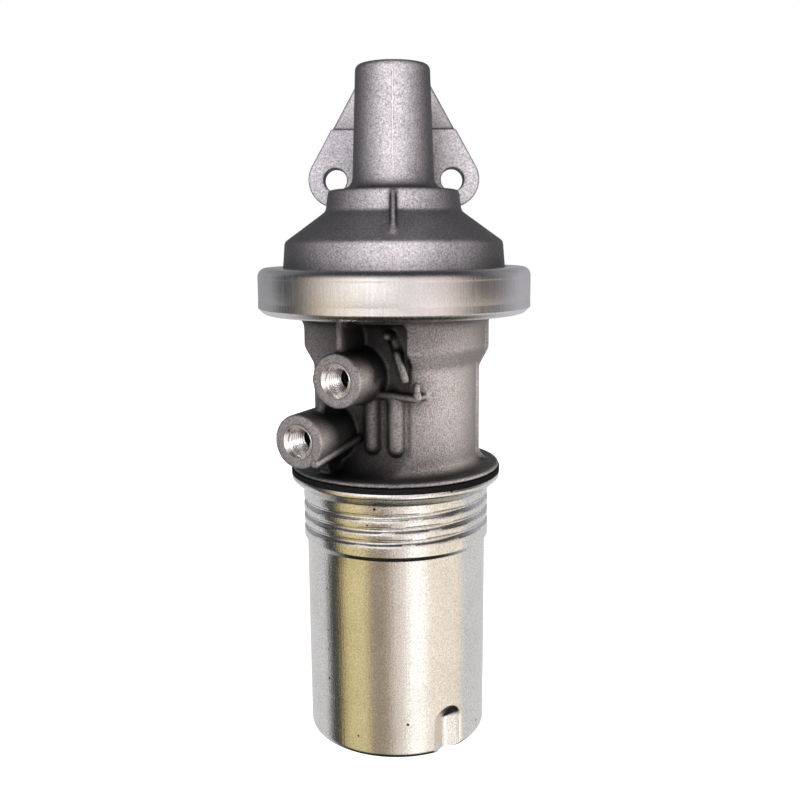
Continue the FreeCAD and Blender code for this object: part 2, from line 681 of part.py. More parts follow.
def rod_nut():
    """Hexagon nut on the rod's end."""
    high = DISH_LOW - PLATE_THICK - WASHER_THICK
    turns = [math.radians(60 * i) for i in range(7)]
    points = [Vector(ROD_NUT_RADIUS * math.cos(t), ROD_NUT_RADIUS * math.sin(t), high) for t in turns]
    nut = Part.Face(Part.makePolygon(points)).extrude(Vector(0, 0, -ROD_NUT_HEIGHT))
    return nut.cut(ring(ROD_TAIL_RADIUS, 0, high - ROD_NUT_HEIGHT, high))


def crimp_ring():
    """Steel band rolled over both clamped edges."""
    return revolved([
        (RING_TOP_LIP_RADIUS, RING_TOP), (RING_RADIUS, RING_TOP, RING_CORNER),
        (RING_RADIUS, RING_LOW, RING_LOW_CORNER), (RING_LOW_LIP_RADIUS, RING_LOW),
        (RING_LOW_LIP_RADIUS, EDGE_LOW), (EDGE_RADIUS, EDGE_LOW, EDGE_LOW_CORNER),
        (EDGE_RADIUS, EDGE_TOP, EDGE_CORNER), (RING_TOP_LIP_RADIUS, EDGE_TOP)])


def body_outside():
    """Clamped edge, neck, barrel, disc and skirt of the lower casting, as one turned form."""
    return revolved([
        (0, CLAMP_LOW), (EDGE_RADIUS, CLAMP_LOW), (EDGE_RADIUS, EDGE_LOW, EDGE_LOW_CORNER),
        (COLLAR_RADIUS, EDGE_LOW), (COLLAR_RADIUS, COLLAR_LOW),
        (NECK_RADIUS, COLLAR_LOW, NECK_FILLET), (NECK_RADIUS, NECK_LOW, CAST_FILLET),
        (BARREL_RADIUS, TAPER_LOW, CAST_FILLET), (BARREL_RADIUS, DISC_TOP, DISC_FILLET),
        (DISC_RADIUS, DISC_TOP, FINE_EDGE), (DISC_RADIUS, DISC_LOW), (SKIRT_RADIUS, DISC_LOW),
        (SKIRT_RADIUS, SKIRT_LOW, FINE_EDGE), (0, SKIRT_LOW)])


def face_point(right, out, height):
    """Point on the front left face: to the right along it, out from the pump axis, and height."""
    return PORT_RIGHT * right + PORT_OUT * out + Vector(0, 0, height)


def facet_tool():
    """Space in front of the flat front left face, with rounded inner edges."""
    far = 2 * RING_RADIUS
    high = RING_LOW - CAST_FILLET
    corners = [(FACET_FROM_AXIS, high, FACET_TOP_FILLET), (far, high),
               (far, DISC_TOP), (FACET_FROM_AXIS, DISC_TOP, FACET_LOW_FILLET)]
    face = Part.Face(rounded_wire(corners, lambda u, v: face_point(-NECK_RADIUS, u, v)))
    right = math.sqrt(BARREL_RADIUS ** 2 - FACET_FROM_AXIS ** 2)
    return face.extrude(PORT_RIGHT * (NECK_RADIUS + right))


def inlet_boss():
    """Upper boss, its axis through the pump axis."""
    start = Vector(0, 0, INLET_Z)
    end = start + PORT_OUT * INLET_REACH
    return rod_between(start, end, PORT_FACE_RADIUS + PORT_DRAFT * INLET_REACH, PORT_FACE_RADIUS)


def outlet_root():
    """Nearest point of the lower port's axis to the pump axis."""
    return face_point(-OUTLET_OFFSET, 0, OUTLET_Z)


def outlet_boss():
    """Lower boss, which passes the pump axis on the left."""
    start = outlet_root()
    end = start + PORT_OUT * OUTLET_REACH
    return rod_between(start, end, PORT_FACE_RADIUS + PORT_DRAFT * OUTLET_REACH, PORT_FACE_RADIUS)


def port_tools(root, reach, depth):
    """Mouth chamfer, threaded stretch and inner passage of one port."""
    mouth = root + PORT_OUT * reach
    step = PORT_CHAMFER_RADIUS - PORT_BORE_RADIUS
    return [
        rod_between(mouth - PORT_OUT * step, mouth, PORT_BORE_RADIUS, PORT_CHAMFER_RADIUS),
        rod_between(mouth - PORT_OUT * PORT_THREAD_LENGTH, mouth, PORT_BORE_RADIUS),
        rod_between(root + PORT_OUT * depth, mouth, PASSAGE_RADIUS)]


def plate_on_face(right, width, outline):
    """Upright plate that stands out from the front left face, from an outline of (out, height)."""
    face = Part.Face(rounded_wire(outline, lambda u, v: face_point(right - width / 2, u, v)))
    return face.extrude(PORT_RIGHT * width)


def bar_on_face(start, end, radius):
    """Round rib between two places on the front left face: right, out of the face, up from the inlet."""
    ends = [face_point(right, FACET_FROM_AXIS + out, INLET_Z + up) for right, out, up in (start, end)]
    return capsule(*ends, radius)


def boss_webs():
    """Plates that tie the bosses to the ring side, to each other and to the disc."""
    inner = FACET_FROM_AXIS - ROOT
    reach = RING_LOW_LIP_RADIUS - WEB_RIB_GAP
    above = plate_on_face(0, WEB_RIB_WIDTH, [
        (inner, EDGE_LOW - SEAM_GAP), (reach, EDGE_LOW - SEAM_GAP), (reach, INLET_Z), (inner, INLET_Z)])
    top, low = (face_point(right, out, INLET_Z + up) for right, out, up in (TIE_TOP, TIE_LOW))
    low.z = OUTLET_Z + TIE_LOW[2]
    foot = DISC_TOP - DISC_THICK / 2
    below = plate_on_face(STRUT_RIGHT, STRUT_WIDTH, [
        (inner, OUTLET_Z), (OUTLET_REACH - STRUT_TOP_BACK, OUTLET_Z),
        (FACET_FROM_AXIS + STRUT_FOOT_OUT, foot), (inner, foot)])
    return [above, capsule(top, low, TIE_RADIUS), below]


def face_ribs():
    """Finger, shelf with its upturned end, and two columns on the front left face."""
    ribs = [bar_on_face((DOT_RIGHT, -DOT_RADIUS, DOT_UP), (DOT_RIGHT, DOT_OUT, DOT_UP), DOT_RADIUS)]
    for start, end, radius in ((FINGER_TOP, FINGER_LOW, FINGER_RADIUS), (RIDGE_TOP, RIDGE_LOW, RIDGE_RADIUS),
                               (TAB_LOW, TAB_TOP, TAB_RADIUS)):
        ribs.append(bar_on_face(start, end, radius))
    inner = FACET_FROM_AXIS - ROOT
    edge = FACET_FROM_AXIS + SHELF_OUT
    low = INLET_Z - SHELF_DROP
    ribs.append(plate_on_face(SHELF_RIGHT, SHELF_LENGTH, [
        (inner, low), (edge, low, SHELF_EDGE), (edge, low + SHELF_THICK, SHELF_EDGE),
        (inner, low + SHELF_THICK)]))
    foot = DISC_TOP + COLUMN_FOOT - INLET_Z
    for right in COLUMN_RIGHT:
        ribs.append(bar_on_face((right, COLUMN_OUT, -SHELF_DROP), (right, COLUMN_OUT, foot), COLUMN_RADIUS))
    return ribs


def seam_rib():
    """Upright parting rib on the right side of the lower casting."""
    neck = NECK_RADIUS + SEAM_RIB_OUT
    barrel = BARREL_RADIUS + SEAM_RIB_OUT
    inner = BARREL_RADIUS - ROOT
    top = EDGE_LOW - SEAM_GAP
    foot = DISC_TOP - DISC_THICK / 2
    corners = [
        (inner, top), (neck + SEAM_RIB_FLARE, top), (neck, EDGE_LOW - SEAM_RIB_TOP, CAST_FILLET),
        (neck, NECK_LOW - SEAM_RIB_LAG, CAST_FILLET), (barrel, TAPER_LOW - SEAM_RIB_LAG, CAST_FILLET),
        (barrel, DISC_TOP + DISC_FILLET, CAST_FILLET), (barrel + DISC_FILLET, foot), (inner, foot)]
    face = Part.Face(rounded_wire(corners, lambda u, v: Vector(u, -SEAM_RIB_WIDTH / 2, v)))
    return face.extrude(Vector(0, SEAM_RIB_WIDTH, 0))


def body_rooms():
    """Diaphragm chamber, valve pockets, clean room and skirt bore of the lower casting."""
    chamber = revolved([
        (0, CLAMP_LOW), (DIAPHRAGM_ROOM_RADIUS, CLAMP_LOW),
        (DIAPHRAGM_ROOM_RADIUS, CLAMP_LOW - CHAMBER_SIDE, CAST_FILLET),
        (CHAMBER_FLOOR_RADIUS, CHAMBER_FLOOR, CAST_FILLET), (0, CHAMBER_FLOOR)])
    inlet = PORT_OUT * INLET_VALVE_OUT
    outlet = PORT_OUT * -OUTLET_VALVE_OUT
    pocket_low = CHAMBER_FLOOR - VALVE_POCKET_DEPTH
    tools = [chamber, ring(SKIRT_BORE_RADIUS, 0, SKIRT_LOW, DISC_LOW)]
    for centre in (inlet, outlet):
        tools.append(Part.makeCylinder(VALVE_POCKET_RADIUS, VALVE_POCKET_DEPTH, centre + UP * pocket_low))
    inlet_low = INLET_Z - PASSAGE_RADIUS
    tools.append(Part.makeCylinder(VALVE_FLOW_RADIUS, pocket_low - inlet_low, inlet + UP * inlet_low))
    tools.append(Part.makeCylinder(OUTLET_FLOW_RADIUS, pocket_low - DISC_LOW, outlet + UP * DISC_LOW))
    tools.append(ring(CLEAN_ROOM_RADIUS, 0, DISC_LOW, DISC_LOW + CLEAN_ROOM_HEIGHT))
    return tools


def valve_body():
    """Lower casting with both ports, the valve pockets and the skirt for the canister."""
    turned = body_outside()
    casting = turned.cut(facet_tool())
    casting = casting.fuse([inlet_boss(), outlet_boss(), seam_rib()] + boss_webs() + face_ribs())
    casting = casting.fuse(skirt_thread())
    tools = body_rooms()
    tools += port_tools(Vector(0, 0, INLET_Z), INLET_REACH, INLET_VALVE_OUT)
    tools += port_tools(outlet_root(), OUTLET_REACH, 0)
    return casting.cut(tools)


def skirt_thread():
    """Ridge around the skirt, half a pitch from the canister's groove."""
    crest = CREST_RADIUS - SHEET - THREAD_CLEARANCE
    base = SKIRT_RADIUS - SKIRT_THREAD_SINK
    flank = crest - base
    ridge = thread_bar(base, THREAD_FLAT / 2 + flank, crest, THREAD_FLAT / 2, THREAD_LOW + THREAD_PITCH / 2)
    low = SKIRT_LOW + SKIRT_THREAD_GAP
    return ridge.common(ring(crest + PAST, base, low, GASKET_LOW - SKIRT_THREAD_GAP))


def valve_pieces(name, centre, flip):
    """Gasket, seat, disc, spring and cage of one valve, in its pocket."""
    outer = VALVE_POCKET_RADIUS
    cage_low = VALVE_SEAT_THICK
    plate = cage_low + VALVE_CAGE_HEIGHT - VALVE_CAGE_PLATE
    top = cage_low + VALVE_CAGE_HEIGHT
    flow = holes_on_circle(VALVE_PORTS, VALVE_PORT_CIRCLE, VALVE_PORT_RADIUS, 0, VALVE_SEAT_THICK)
    stem = ring(VALVE_STEM_RADIUS, 0, 0, plate)
    seat = ring(outer, 0, 0, VALVE_SEAT_THICK).cut(flow).fuse(stem)
    disc_low = VALVE_SEAT_THICK + RUN_FIT
    disc_high = disc_low + VALVE_DISC_THICK
    disc = ring(VALVE_DISC_RADIUS, VALVE_STEM_RADIUS + RUN_FIT, disc_low, disc_high)
    spring = coil(disc_high, plate, VALVE_SPRING_RADIUS, VALVE_WIRE, VALVE_TURNS)
    windows = holes_on_circle(VALVE_PORTS, VALVE_CAGE_CIRCLE, VALVE_PORT_RADIUS, plate, top)
    inside = ring(outer - VALVE_CAGE_WALL, 0, cage_low, plate)
    cage = ring(outer, 0, cage_low, top).cut([inside] + windows)
    pieces = {"seat": seat, "disc": disc, "spring": spring, "cage": cage}
    floor = CHAMBER_FLOOR - VALVE_POCKET_DEPTH
    gasket = ring(outer, outer - VALVE_GASKET_WIDTH, floor, floor + VALVE_GASKET_THICK)
    for shape in pieces.values():
        if flip:
            shape.rotate(Vector(0, 0, top / 2), Vector(1, 0, 0), 180)
        shape.translate(Vector(0, 0, floor + VALVE_GASKET_THICK))
    pieces["gasket"] = gasket
    for shape in pieces.values():
        shape.translate(centre)
    return {name + "_valve_" + part: shape for part, shape in pieces.items()}


def standpipe():
    """Flanged tube that brings clean fuel up from the filter."""
    high = DISC_LOW + STANDPIPE_FLANGE
    return revolved([
        (STANDPIPE_BORE_RADIUS, high), (CLEAN_ROOM_RADIUS, high), (CLEAN_ROOM_RADIUS, DISC_LOW),
        (STANDPIPE_RADIUS, DISC_LOW, FINE_EDGE), (STANDPIPE_RADIUS, high - STANDPIPE_LENGTH),
        (STANDPIPE_BORE_RADIUS, high - STANDPIPE_LENGTH)])


def canister_gasket():
    """Flat rubber ring between the disc and the canister lip."""
    return ring(GASKET_RADIUS, SKIRT_RADIUS + GASKET_INSIDE_GAP, GASKET_LOW, DISC_LOW)


def canister_form(inset):
    """Turned form of the canister, its sheet's outer face or, inset, its inner face."""
    top = GASKET_LOW - RUN_FIT
    low = CANISTER_LOW + inset
    lip_low = top - LIP_HEIGHT + inset
    return revolved([
        (0, top - inset), (LIP_RADIUS - inset, top - inset), (LIP_RADIUS - inset, lip_low, LIP_CORNER),
        (CANISTER_NECK_RADIUS - inset, lip_low - LIP_SLOPE, LIP_CORNER),
        (CANISTER_NECK_RADIUS - inset, CREST_TOP + CANISTER_NECK_TAPER), (CREST_RADIUS - inset, CREST_TOP),
        (CREST_RADIUS - inset, STEP_TOP, LIP_CORNER),
        (CANISTER_RADIUS - inset, STEP_TOP - STEP_HEIGHT, LIP_CORNER),
        (CANISTER_FOOT_RADIUS - inset, low, CANISTER_CORNER - inset), (0, low)])


def canister_cuts(inset):
    """Thread groove and wrench dents, pressed in from outside."""
    root = CREST_RADIUS - THREAD_DEPTH - inset
    half = THREAD_FLAT / 2 + inset * math.tan(math.pi / 8)
    outer = CREST_RADIUS + PAST
    cuts = [thread_bar(root, half, outer, half + outer - root, THREAD_LOW)]
    for i in range(DENTS):
        turn = math.radians(DENT_TURN + 360 * i / DENTS)
        out = CANISTER_FOOT_RADIUS + DENT_RADIUS - DENT_DEPTH
        foot = Vector(out * math.sin(turn), -out * math.cos(turn), CANISTER_LOW - 2 * DENT_RADIUS)
        cuts.append(capsule(foot, foot + UP * (DENT_HEIGHT + DENT_RADIUS), DENT_RADIUS + inset))
    return cuts


def canister():
    """Drawn sheet cup with a rolled thread and pressed wrench dents."""
    outside = canister_form(0).cut(canister_cuts(0))
    inside = canister_form(SHEET).cut(canister_cuts(SHEET))
    mouth = ring(CANISTER_NECK_RADIUS - SHEET, 0, GASKET_LOW - LIP_HEIGHT, GASKET_LOW)
    return outside.cut(inside).cut(mouth)


def filter_element():
    """Pleated paper ring."""
    outer = FILTER_RADIUS - FILTER_CAP_THICK - FILTER_SIDE_GAP
    inner = outer - PLEAT_DEPTH
    low = FILTER_LOW + FILTER_CAP_THICK
    height = FILTER_LENGTH - 2 * FILTER_CAP_THICK
    solids = []
    for tip, root in ((outer, inner + PLEAT_FOLD), (outer - PLEAT_FOLD, inner)):
        points = []
        for i in range(2 * PLEATS + 1):
            radius = tip if i % 2 == 0 else root
            turn = math.pi * i / PLEATS
            points.append(Vector(radius * math.cos(turn), radius * math.sin(turn), low))
        solids.append(Part.Face(Part.makePolygon(points)).extrude(Vector(0, 0, height)))
    return solids[0].cut(solids[1])


def filter_cap(face, way, bore):
    """Sheet cap over one end of the pleats, its rim around them."""
    inner = face + way * FILTER_CAP_THICK
    rim = face + way * FILTER_CAP_RIM
    return revolved([
        (bore, face), (FILTER_RADIUS, face, FILTER_CAP_CORNER), (FILTER_RADIUS, rim),
        (FILTER_RADIUS - FILTER_CAP_THICK, rim), (FILTER_RADIUS - FILTER_CAP_THICK, inner), (bore, inner)])


def filter_centre_tube():
    """Tube with drain holes inside the pleats."""
    low = FILTER_LOW + FILTER_CAP_THICK
    high = FILTER_TOP - FILTER_CAP_THICK
    tube = ring(CENTRE_TUBE_RADIUS, CENTRE_TUBE_RADIUS - CENTRE_TUBE_WALL, low, high)
    tools = []
    for row in range(TUBE_HOLE_ROWS):
        height = low + (high - low) * (row + 0.5) / TUBE_HOLE_ROWS
        for i in range(TUBE_HOLES // 2):
            turn = math.radians(360 * i / TUBE_HOLES)
            across = Vector(math.cos(turn), math.sin(turn), 0) * (CENTRE_TUBE_RADIUS + PAST)
            middle = Vector(0, 0, height)
            tools.append(rod_between(middle - across, middle + across, TUBE_HOLE_RADIUS))
    return tube.cut(tools)


def filter_grommet():
    """Rubber ring that seals the filter on the standpipe."""
    bore = STANDPIPE_RADIUS + RUN_FIT
    lip = GROMMET_RADIUS + GROMMET_LIP
    high = FILTER_TOP + GROMMET_TOP
    low = high - GROMMET_HEIGHT
    under = FILTER_TOP - FILTER_CAP_THICK
    return revolved([
        (bore, high), (lip, high), (lip, FILTER_TOP), (GROMMET_RADIUS, FILTER_TOP), (GROMMET_RADIUS, under),
        (lip, under), (GROMMET_RADIUS, low), (bore, low)])


def canister_spring():
    """Spring between the canister's floor and the filter."""
    return coil(CANISTER_LOW + SHEET, FILTER_LOW, CANISTER_SPRING_RADIUS, CANISTER_WIRE, CANISTER_TURNS)


def all_pieces():
    """Every piece by its name, in the pump's own place."""
    pieces = {
        "rocker_housing": rocker_housing(),
        "rocker_arm": rocker_arm(),
        "arm_bushing": arm_bushing(),
        "rocker_pin": rocker_pin(),
        "pin_plug_left": pin_plug(-1),
        "pin_plug_right": pin_plug(1),
        "spring_seat": spring_seat(),
        "return_spring": return_spring(),
        "pull_rod": pull_rod(),
        "oil_seal": oil_seal(),
        "seal_retainer": seal_retainer(),
        "diaphragm_spring": diaphragm_spring(),
        "upper_diaphragm_plate": diaphragm_plate(DISH_TOP, 1),
        "lower_diaphragm_plate": diaphragm_plate(DISH_LOW, -1),
        "diaphragm": diaphragm(),
        "rod_washer": rod_washer(),
        "rod_nut": rod_nut(),
        "crimp_ring": crimp_ring(),
        "valve_body": valve_body(),
        "standpipe": standpipe(),
        "canister_gasket": canister_gasket(),
        "canister": canister(),
        "filter_element": filter_element(),
        "filter_top_cap": filter_cap(FILTER_TOP, -1, GROMMET_RADIUS),
        "filter_bottom_cap": filter_cap(FILTER_LOW, 1, 0),
        "filter_centre_tube": filter_centre_tube(),
        "filter_grommet": filter_grommet(),
        "canister_spring": canister_spring(),
    }
    pieces.update(valve_pieces("inlet", PORT_OUT * INLET_VALVE_OUT, False))
    pieces.update(valve_pieces("outlet", PORT_OUT * -OUTLET_VALVE_OUT, True))
    return pieces


def main():
    """Writes each piece to its own file, with the middle of the mounting face as origin."""
    os.makedirs("parts", exist_ok=True)
    for name, shape in all_pieces().items():
        shape.translate(Vector(0, -AXIS_TO_MOUNT, 0))
        shape.exportStep(os.path.join("parts", name + ".step"))
        print(name, shape.isValid(), len(shape.Solids), round(shape.Volume, 1))


main()
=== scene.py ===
"""Dresses the mechanical fuel pump: cast surfaces with soft corners, a rolled and dented sheet
canister, machined port threads, a finish for every piece, and a plain studio with a camera."""
import json
import logging
import math
from abc import ABC, abstractmethod
from collections.abc import Callable, Iterator
from contextlib import contextmanager
from dataclasses import KW_ONLY, dataclass
from enum import Enum

import bpy
from bpy.types import Material, MeshPolygon, Node, NodeSocket, NodeTree, Object
from mathutils import Matrix, Vector

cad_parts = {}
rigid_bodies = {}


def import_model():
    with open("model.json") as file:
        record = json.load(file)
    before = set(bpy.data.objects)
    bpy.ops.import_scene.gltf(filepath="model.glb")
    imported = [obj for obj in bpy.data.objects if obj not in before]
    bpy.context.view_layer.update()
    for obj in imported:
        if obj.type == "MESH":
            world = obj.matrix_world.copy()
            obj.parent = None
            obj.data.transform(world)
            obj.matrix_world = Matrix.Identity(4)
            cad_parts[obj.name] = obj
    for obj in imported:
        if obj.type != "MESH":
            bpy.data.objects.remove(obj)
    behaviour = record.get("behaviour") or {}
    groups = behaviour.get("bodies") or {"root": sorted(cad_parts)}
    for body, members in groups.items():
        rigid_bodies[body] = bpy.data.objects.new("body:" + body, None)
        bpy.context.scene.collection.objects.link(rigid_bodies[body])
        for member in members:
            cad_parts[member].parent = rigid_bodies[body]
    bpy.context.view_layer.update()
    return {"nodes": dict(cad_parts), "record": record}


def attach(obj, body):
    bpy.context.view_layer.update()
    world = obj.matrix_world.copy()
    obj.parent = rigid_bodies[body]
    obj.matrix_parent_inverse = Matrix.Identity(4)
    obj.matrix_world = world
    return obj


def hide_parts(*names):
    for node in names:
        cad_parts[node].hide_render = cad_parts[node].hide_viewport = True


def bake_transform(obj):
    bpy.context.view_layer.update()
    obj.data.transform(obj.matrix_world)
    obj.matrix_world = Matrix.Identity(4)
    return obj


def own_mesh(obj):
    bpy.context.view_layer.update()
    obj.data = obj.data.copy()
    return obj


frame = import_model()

log = logging.getLogger("fuel_pump")
logging.basicConfig(level=logging.INFO, format="%(name)s %(message)s")

Colour = tuple[float, float, float]
Profile = list[tuple[float, float]]
Sockets = bpy.types.NodeOutputs

MM = 0.001
AXIS_Y = -0.058
PORT_TURN = math.radians(29.5)
PORT_OUT = Vector((-math.sin(PORT_TURN), -math.cos(PORT_TURN), 0.0))
PORT_RIGHT = Vector((math.cos(PORT_TURN), -math.sin(PORT_TURN), 0.0))
STROKE = 4.0 * MM
VALVE_LIFT = 1.5 * MM
NOISE_LOW = 0.3
NOISE_HIGH = 0.7
MERGE = 0.001 * MM
BLACK: Colour = (0.0, 0.0, 0.0)
WHITE: Colour = (1.0, 1.0, 1.0)

# Name and mouth as millimetres right along the port face, out from the pump axis and up.
PORTS = (
    ("inlet_thread", (0.0, 45.75, -80.4)),
    ("outlet_thread", (-14.8, 50.8, -104.7)),
)

# Node, coil, joint, height of the fixed end, height of the moving end and travel.
SPRINGS = (
    ("return_spring", "return_coil", "diaphragm_stroke", 38.3 * MM, 10.05 * MM, STROKE),
    ("diaphragm_spring", "diaphragm_coil", "diaphragm_stroke", -15.2 * MM, -47.7 * MM, STROKE),
    ("inlet_valve_spring", "inlet_valve_coil", "inlet_valve_lift", -59.2 * MM, -63.75 * MM, VALVE_LIFT),
    ("outlet_valve_spring", "outlet_valve_coil", "outlet_valve_lift", -65.8 * MM, -61.25 * MM, VALVE_LIFT),
)

# Name, start and end as millimetres right, out and up, radius at the start and at the end.
RIDGES = (
    ("outlet_ridge", (-7.6, 49.2, -112.6), (-1.6, 25.6, -106.0), 2.1 * MM, 1.8 * MM),
    ("shelf_ridge", (26.2, 28.6, -88.0), (6.6, 28.9, -86.8), 1.5 * MM, 1.45 * MM),
    ("shelf_knob", (26.0, 28.4, -86.2), (26.4, 28.2, -88.4), 1.7 * MM, 1.9 * MM),
)


class Slot(Enum):
    """The record's material slots."""

    CASTING = "casting"
    FORGED = "steel_arm"
    STEEL = "steel"
    BRONZE = "bronze"
    SPRING = "spring_steel"
    RING = "ring_steel"
    CANISTER = "canister_steel"
    RUBBER = "rubber"
    CLOTH = "diaphragm_cloth"
    FIBRE = "gasket_fibre"
    PAPER = "paper"
    BRASS = "brass"


@dataclass
class NodeSheet:
    """Adds and joins shader nodes in the tree of a material, a world or a group."""

    tree: NodeTree

    def feed(self, node: Node, inputs: dict) -> None:
        """Gives a node its values or sockets by input name or number."""
        for key, value in inputs.items():
            if isinstance(value, NodeSocket):
                self.tree.links.new(value, node.inputs[key])
            else:
                node.inputs[key].default_value = value

    def add(self, kind: str, inputs: dict | None = None, **settings) -> Node:
        """Adds one node.

        Args:
            kind: the node's type name.
            inputs: values or sockets by input name or number.
            settings: the node's own properties.

        Returns:
            The new node.
        """
        node = self.tree.nodes.new(kind)
        for name, value in settings.items():
            setattr(node, name, value)
        self.feed(node, inputs or {})
        return node

    def group(self, tree: NodeTree, inputs: dict) -> Sockets:
        """Outputs of a node group placed with its own values."""
        return self.add("ShaderNodeGroup", inputs, node_tree=tree).outputs

    def maths(self, operation: str, *values) -> NodeSocket:
        """Result of one maths node on values or sockets."""
        return self.add("ShaderNodeMath", dict(enumerate(values)), operation=operation).outputs[0]

    def stretch(self, value: NodeSocket, low: float, high: float) -> NodeSocket:
        """Value between low and high, spread over 0 to 1 and clamped."""
        inputs = {"Value": value, "From Min": low, "From Max": high}
        return self.add("ShaderNodeMapRange", inputs).outputs["Result"]

    def noise(self, place: NodeSocket, scale, detail: float, roughness: float = 0.5) -> NodeSocket:
        """Noise whose middle values are spread over 0 to 1."""
        node = self.add("ShaderNodeTexNoise", {
            "Vector": place, "Scale": scale, "Detail": detail, "Roughness": roughness})
        return self.stretch(node.outputs["Fac"], NOISE_LOW, NOISE_HIGH)

    def bump(self, height: NodeSocket, strength: float, distance: float) -> NodeSocket:
        """Normal of a bumpy surface."""
        inputs = {"Height": height, "Strength": strength, "Distance": distance}
        return self.add("ShaderNodeBump", inputs).outputs["Normal"]

    def mix(self, factor, first, second) -> NodeSocket:
        """Colour between two colours.

        Args:
            factor: 0 for the first colour, 1 for the second.
            first: colour or socket.
            second: colour or socket.

        Returns:
            The mixed colour's socket.
        """
        inputs = {0: factor}
        for key, colour in ((6, first), (7, second)):
            inputs[key] = colour if isinstance(colour, NodeSocket) else (*colour, 1.0)
        return self.add("ShaderNodeMix", inputs, data_type="RGBA").outputs[2]


class Effects:
    """Node groups that several finishes share."""

    def __init__(self) -> None:
        """Builds each group once."""
        self.grain = self._grain()
        self.brush = self._brush()
        self.pits = self._pits()

    @staticmethod
    def _open(name: str, inputs: dict[str, float]) -> tuple[NodeSheet, Sockets]:
        """Starts a group with a vector input for the place and named number inputs."""
        tree = bpy.data.node_groups.new(name, "ShaderNodeTree")
        tree.interface.new_socket("Place", in_out="INPUT", socket_type="NodeSocketVector")
        for label, value in inputs.items():
            socket = tree.interface.new_socket(label, in_out="INPUT", socket_type="NodeSocketFloat")
            socket.default_value = value
        return NodeSheet(tree), tree.nodes.new("NodeGroupInput").outputs

    @staticmethod
    def _close(sheet: NodeSheet, outputs: dict[str, NodeSocket]) -> NodeTree:
        """Gives a group its number outputs."""
        for label in outputs:
            sheet.tree.interface.new_socket(label, in_out="OUTPUT", socket_type="NodeSocketFloat")
        sheet.add("NodeGroupOutput", outputs)
        return sheet.tree

    def _grain(self) -> NodeTree:
        """Fine sandy grain with slow cloudy changes under it."""
        sheet, entry = self._open("sandy_grain", {"Grain Scale": 1500.0, "Cloud Scale": 60.0})
        return self._close(sheet, {
            "Grain": sheet.noise(entry["Place"], entry["Grain Scale"], detail=3.0, roughness=0.65),
            "Cloud": sheet.noise(entry["Place"], entry["Cloud Scale"], detail=4.0, roughness=0.55)})

    def _brush(self) -> NodeTree:
        """Streaks along the pump axis, even all the way around it."""
        sheet, entry = self._open("upright_streaks", {"Across Scale": 900.0, "Along Scale": 25.0})
        parts = sheet.add("ShaderNodeSeparateXYZ", {0: entry["Place"]}).outputs
        scales = (entry["Across Scale"], entry["Across Scale"], entry["Along Scale"])
        spread = sheet.add("ShaderNodeCombineXYZ", {
            axis: sheet.maths("MULTIPLY", parts[axis], scale) for axis, scale in enumerate(scales)})
        return self._close(sheet, {"Streak": sheet.noise(spread.outputs[0], 1.0, detail=2.0)})

    def _pits(self) -> NodeTree:
        """Sparse small dark pits."""
        sheet, entry = self._open("sparse_pits", {
            "Spacing Scale": 180.0, "Pit Size": 0.08, "Share": 0.25})
        cells = sheet.add("ShaderNodeTexVoronoi", {
            "Vector": entry["Place"], "Scale": entry["Spacing Scale"]}).outputs
        pick = sheet.add("ShaderNodeSeparateColor", {0: cells["Color"]}).outputs
        chosen = sheet.maths("LESS_THAN", pick[0], entry["Share"])
        size = sheet.maths("MULTIPLY", entry["Pit Size"], sheet.maths("POWER", pick[1], 2.0))
        near = sheet.maths("LESS_THAN", cells["Distance"], size)
        return self._close(sheet, {"Pit": sheet.maths("MULTIPLY", chosen, near)})


def new_material(name: str) -> tuple[Material, NodeSheet, Node]:
    """Empty material with its shader.

    Args:
        name: the material's name.

    Returns:
        The material, its node sheet and its Principled shader.
    """
    material = bpy.data.materials.new(name)
    material.use_nodes = True
    return material, NodeSheet(material.node_tree), material.node_tree.nodes["Principled BSDF"]


@dataclass(frozen=True)
class Finish(ABC):
    """Material made of the shared effects, with sandy grain and clouds."""

    name: str
    _: KW_ONLY
    grain_scale: float = 1500.0
    cloud_scale: float = 60.0
    bump_height: float = 0.1 * MM

    def build(self, effects: Effects) -> Material:
        """Makes the material.

        Args:
            effects: the shared node groups.

        Returns:
            The finished material.
        """
        material, sheet, shader = new_material(self.name)
        place = sheet.add("ShaderNodeTexCoord").outputs["Object"]
        grain = sheet.group(effects.grain, {
            "Place": place, "Grain Scale": self.grain_scale, "Cloud Scale": self.cloud_scale})
        sheet.feed(shader, self.surface(sheet, grain, place, effects))
        return material

    @abstractmethod
    def surface(self, sheet: NodeSheet, grain: Sockets, place: NodeSocket, effects: Effects) -> dict:
        """Adds the finish's nodes.

        Args:
            sheet: the material's sheet.
            grain: the grain and the clouds.
            place: the place on the piece.
            effects: the shared node groups.

        Returns:
            Values and sockets for the shader's inputs.
        """


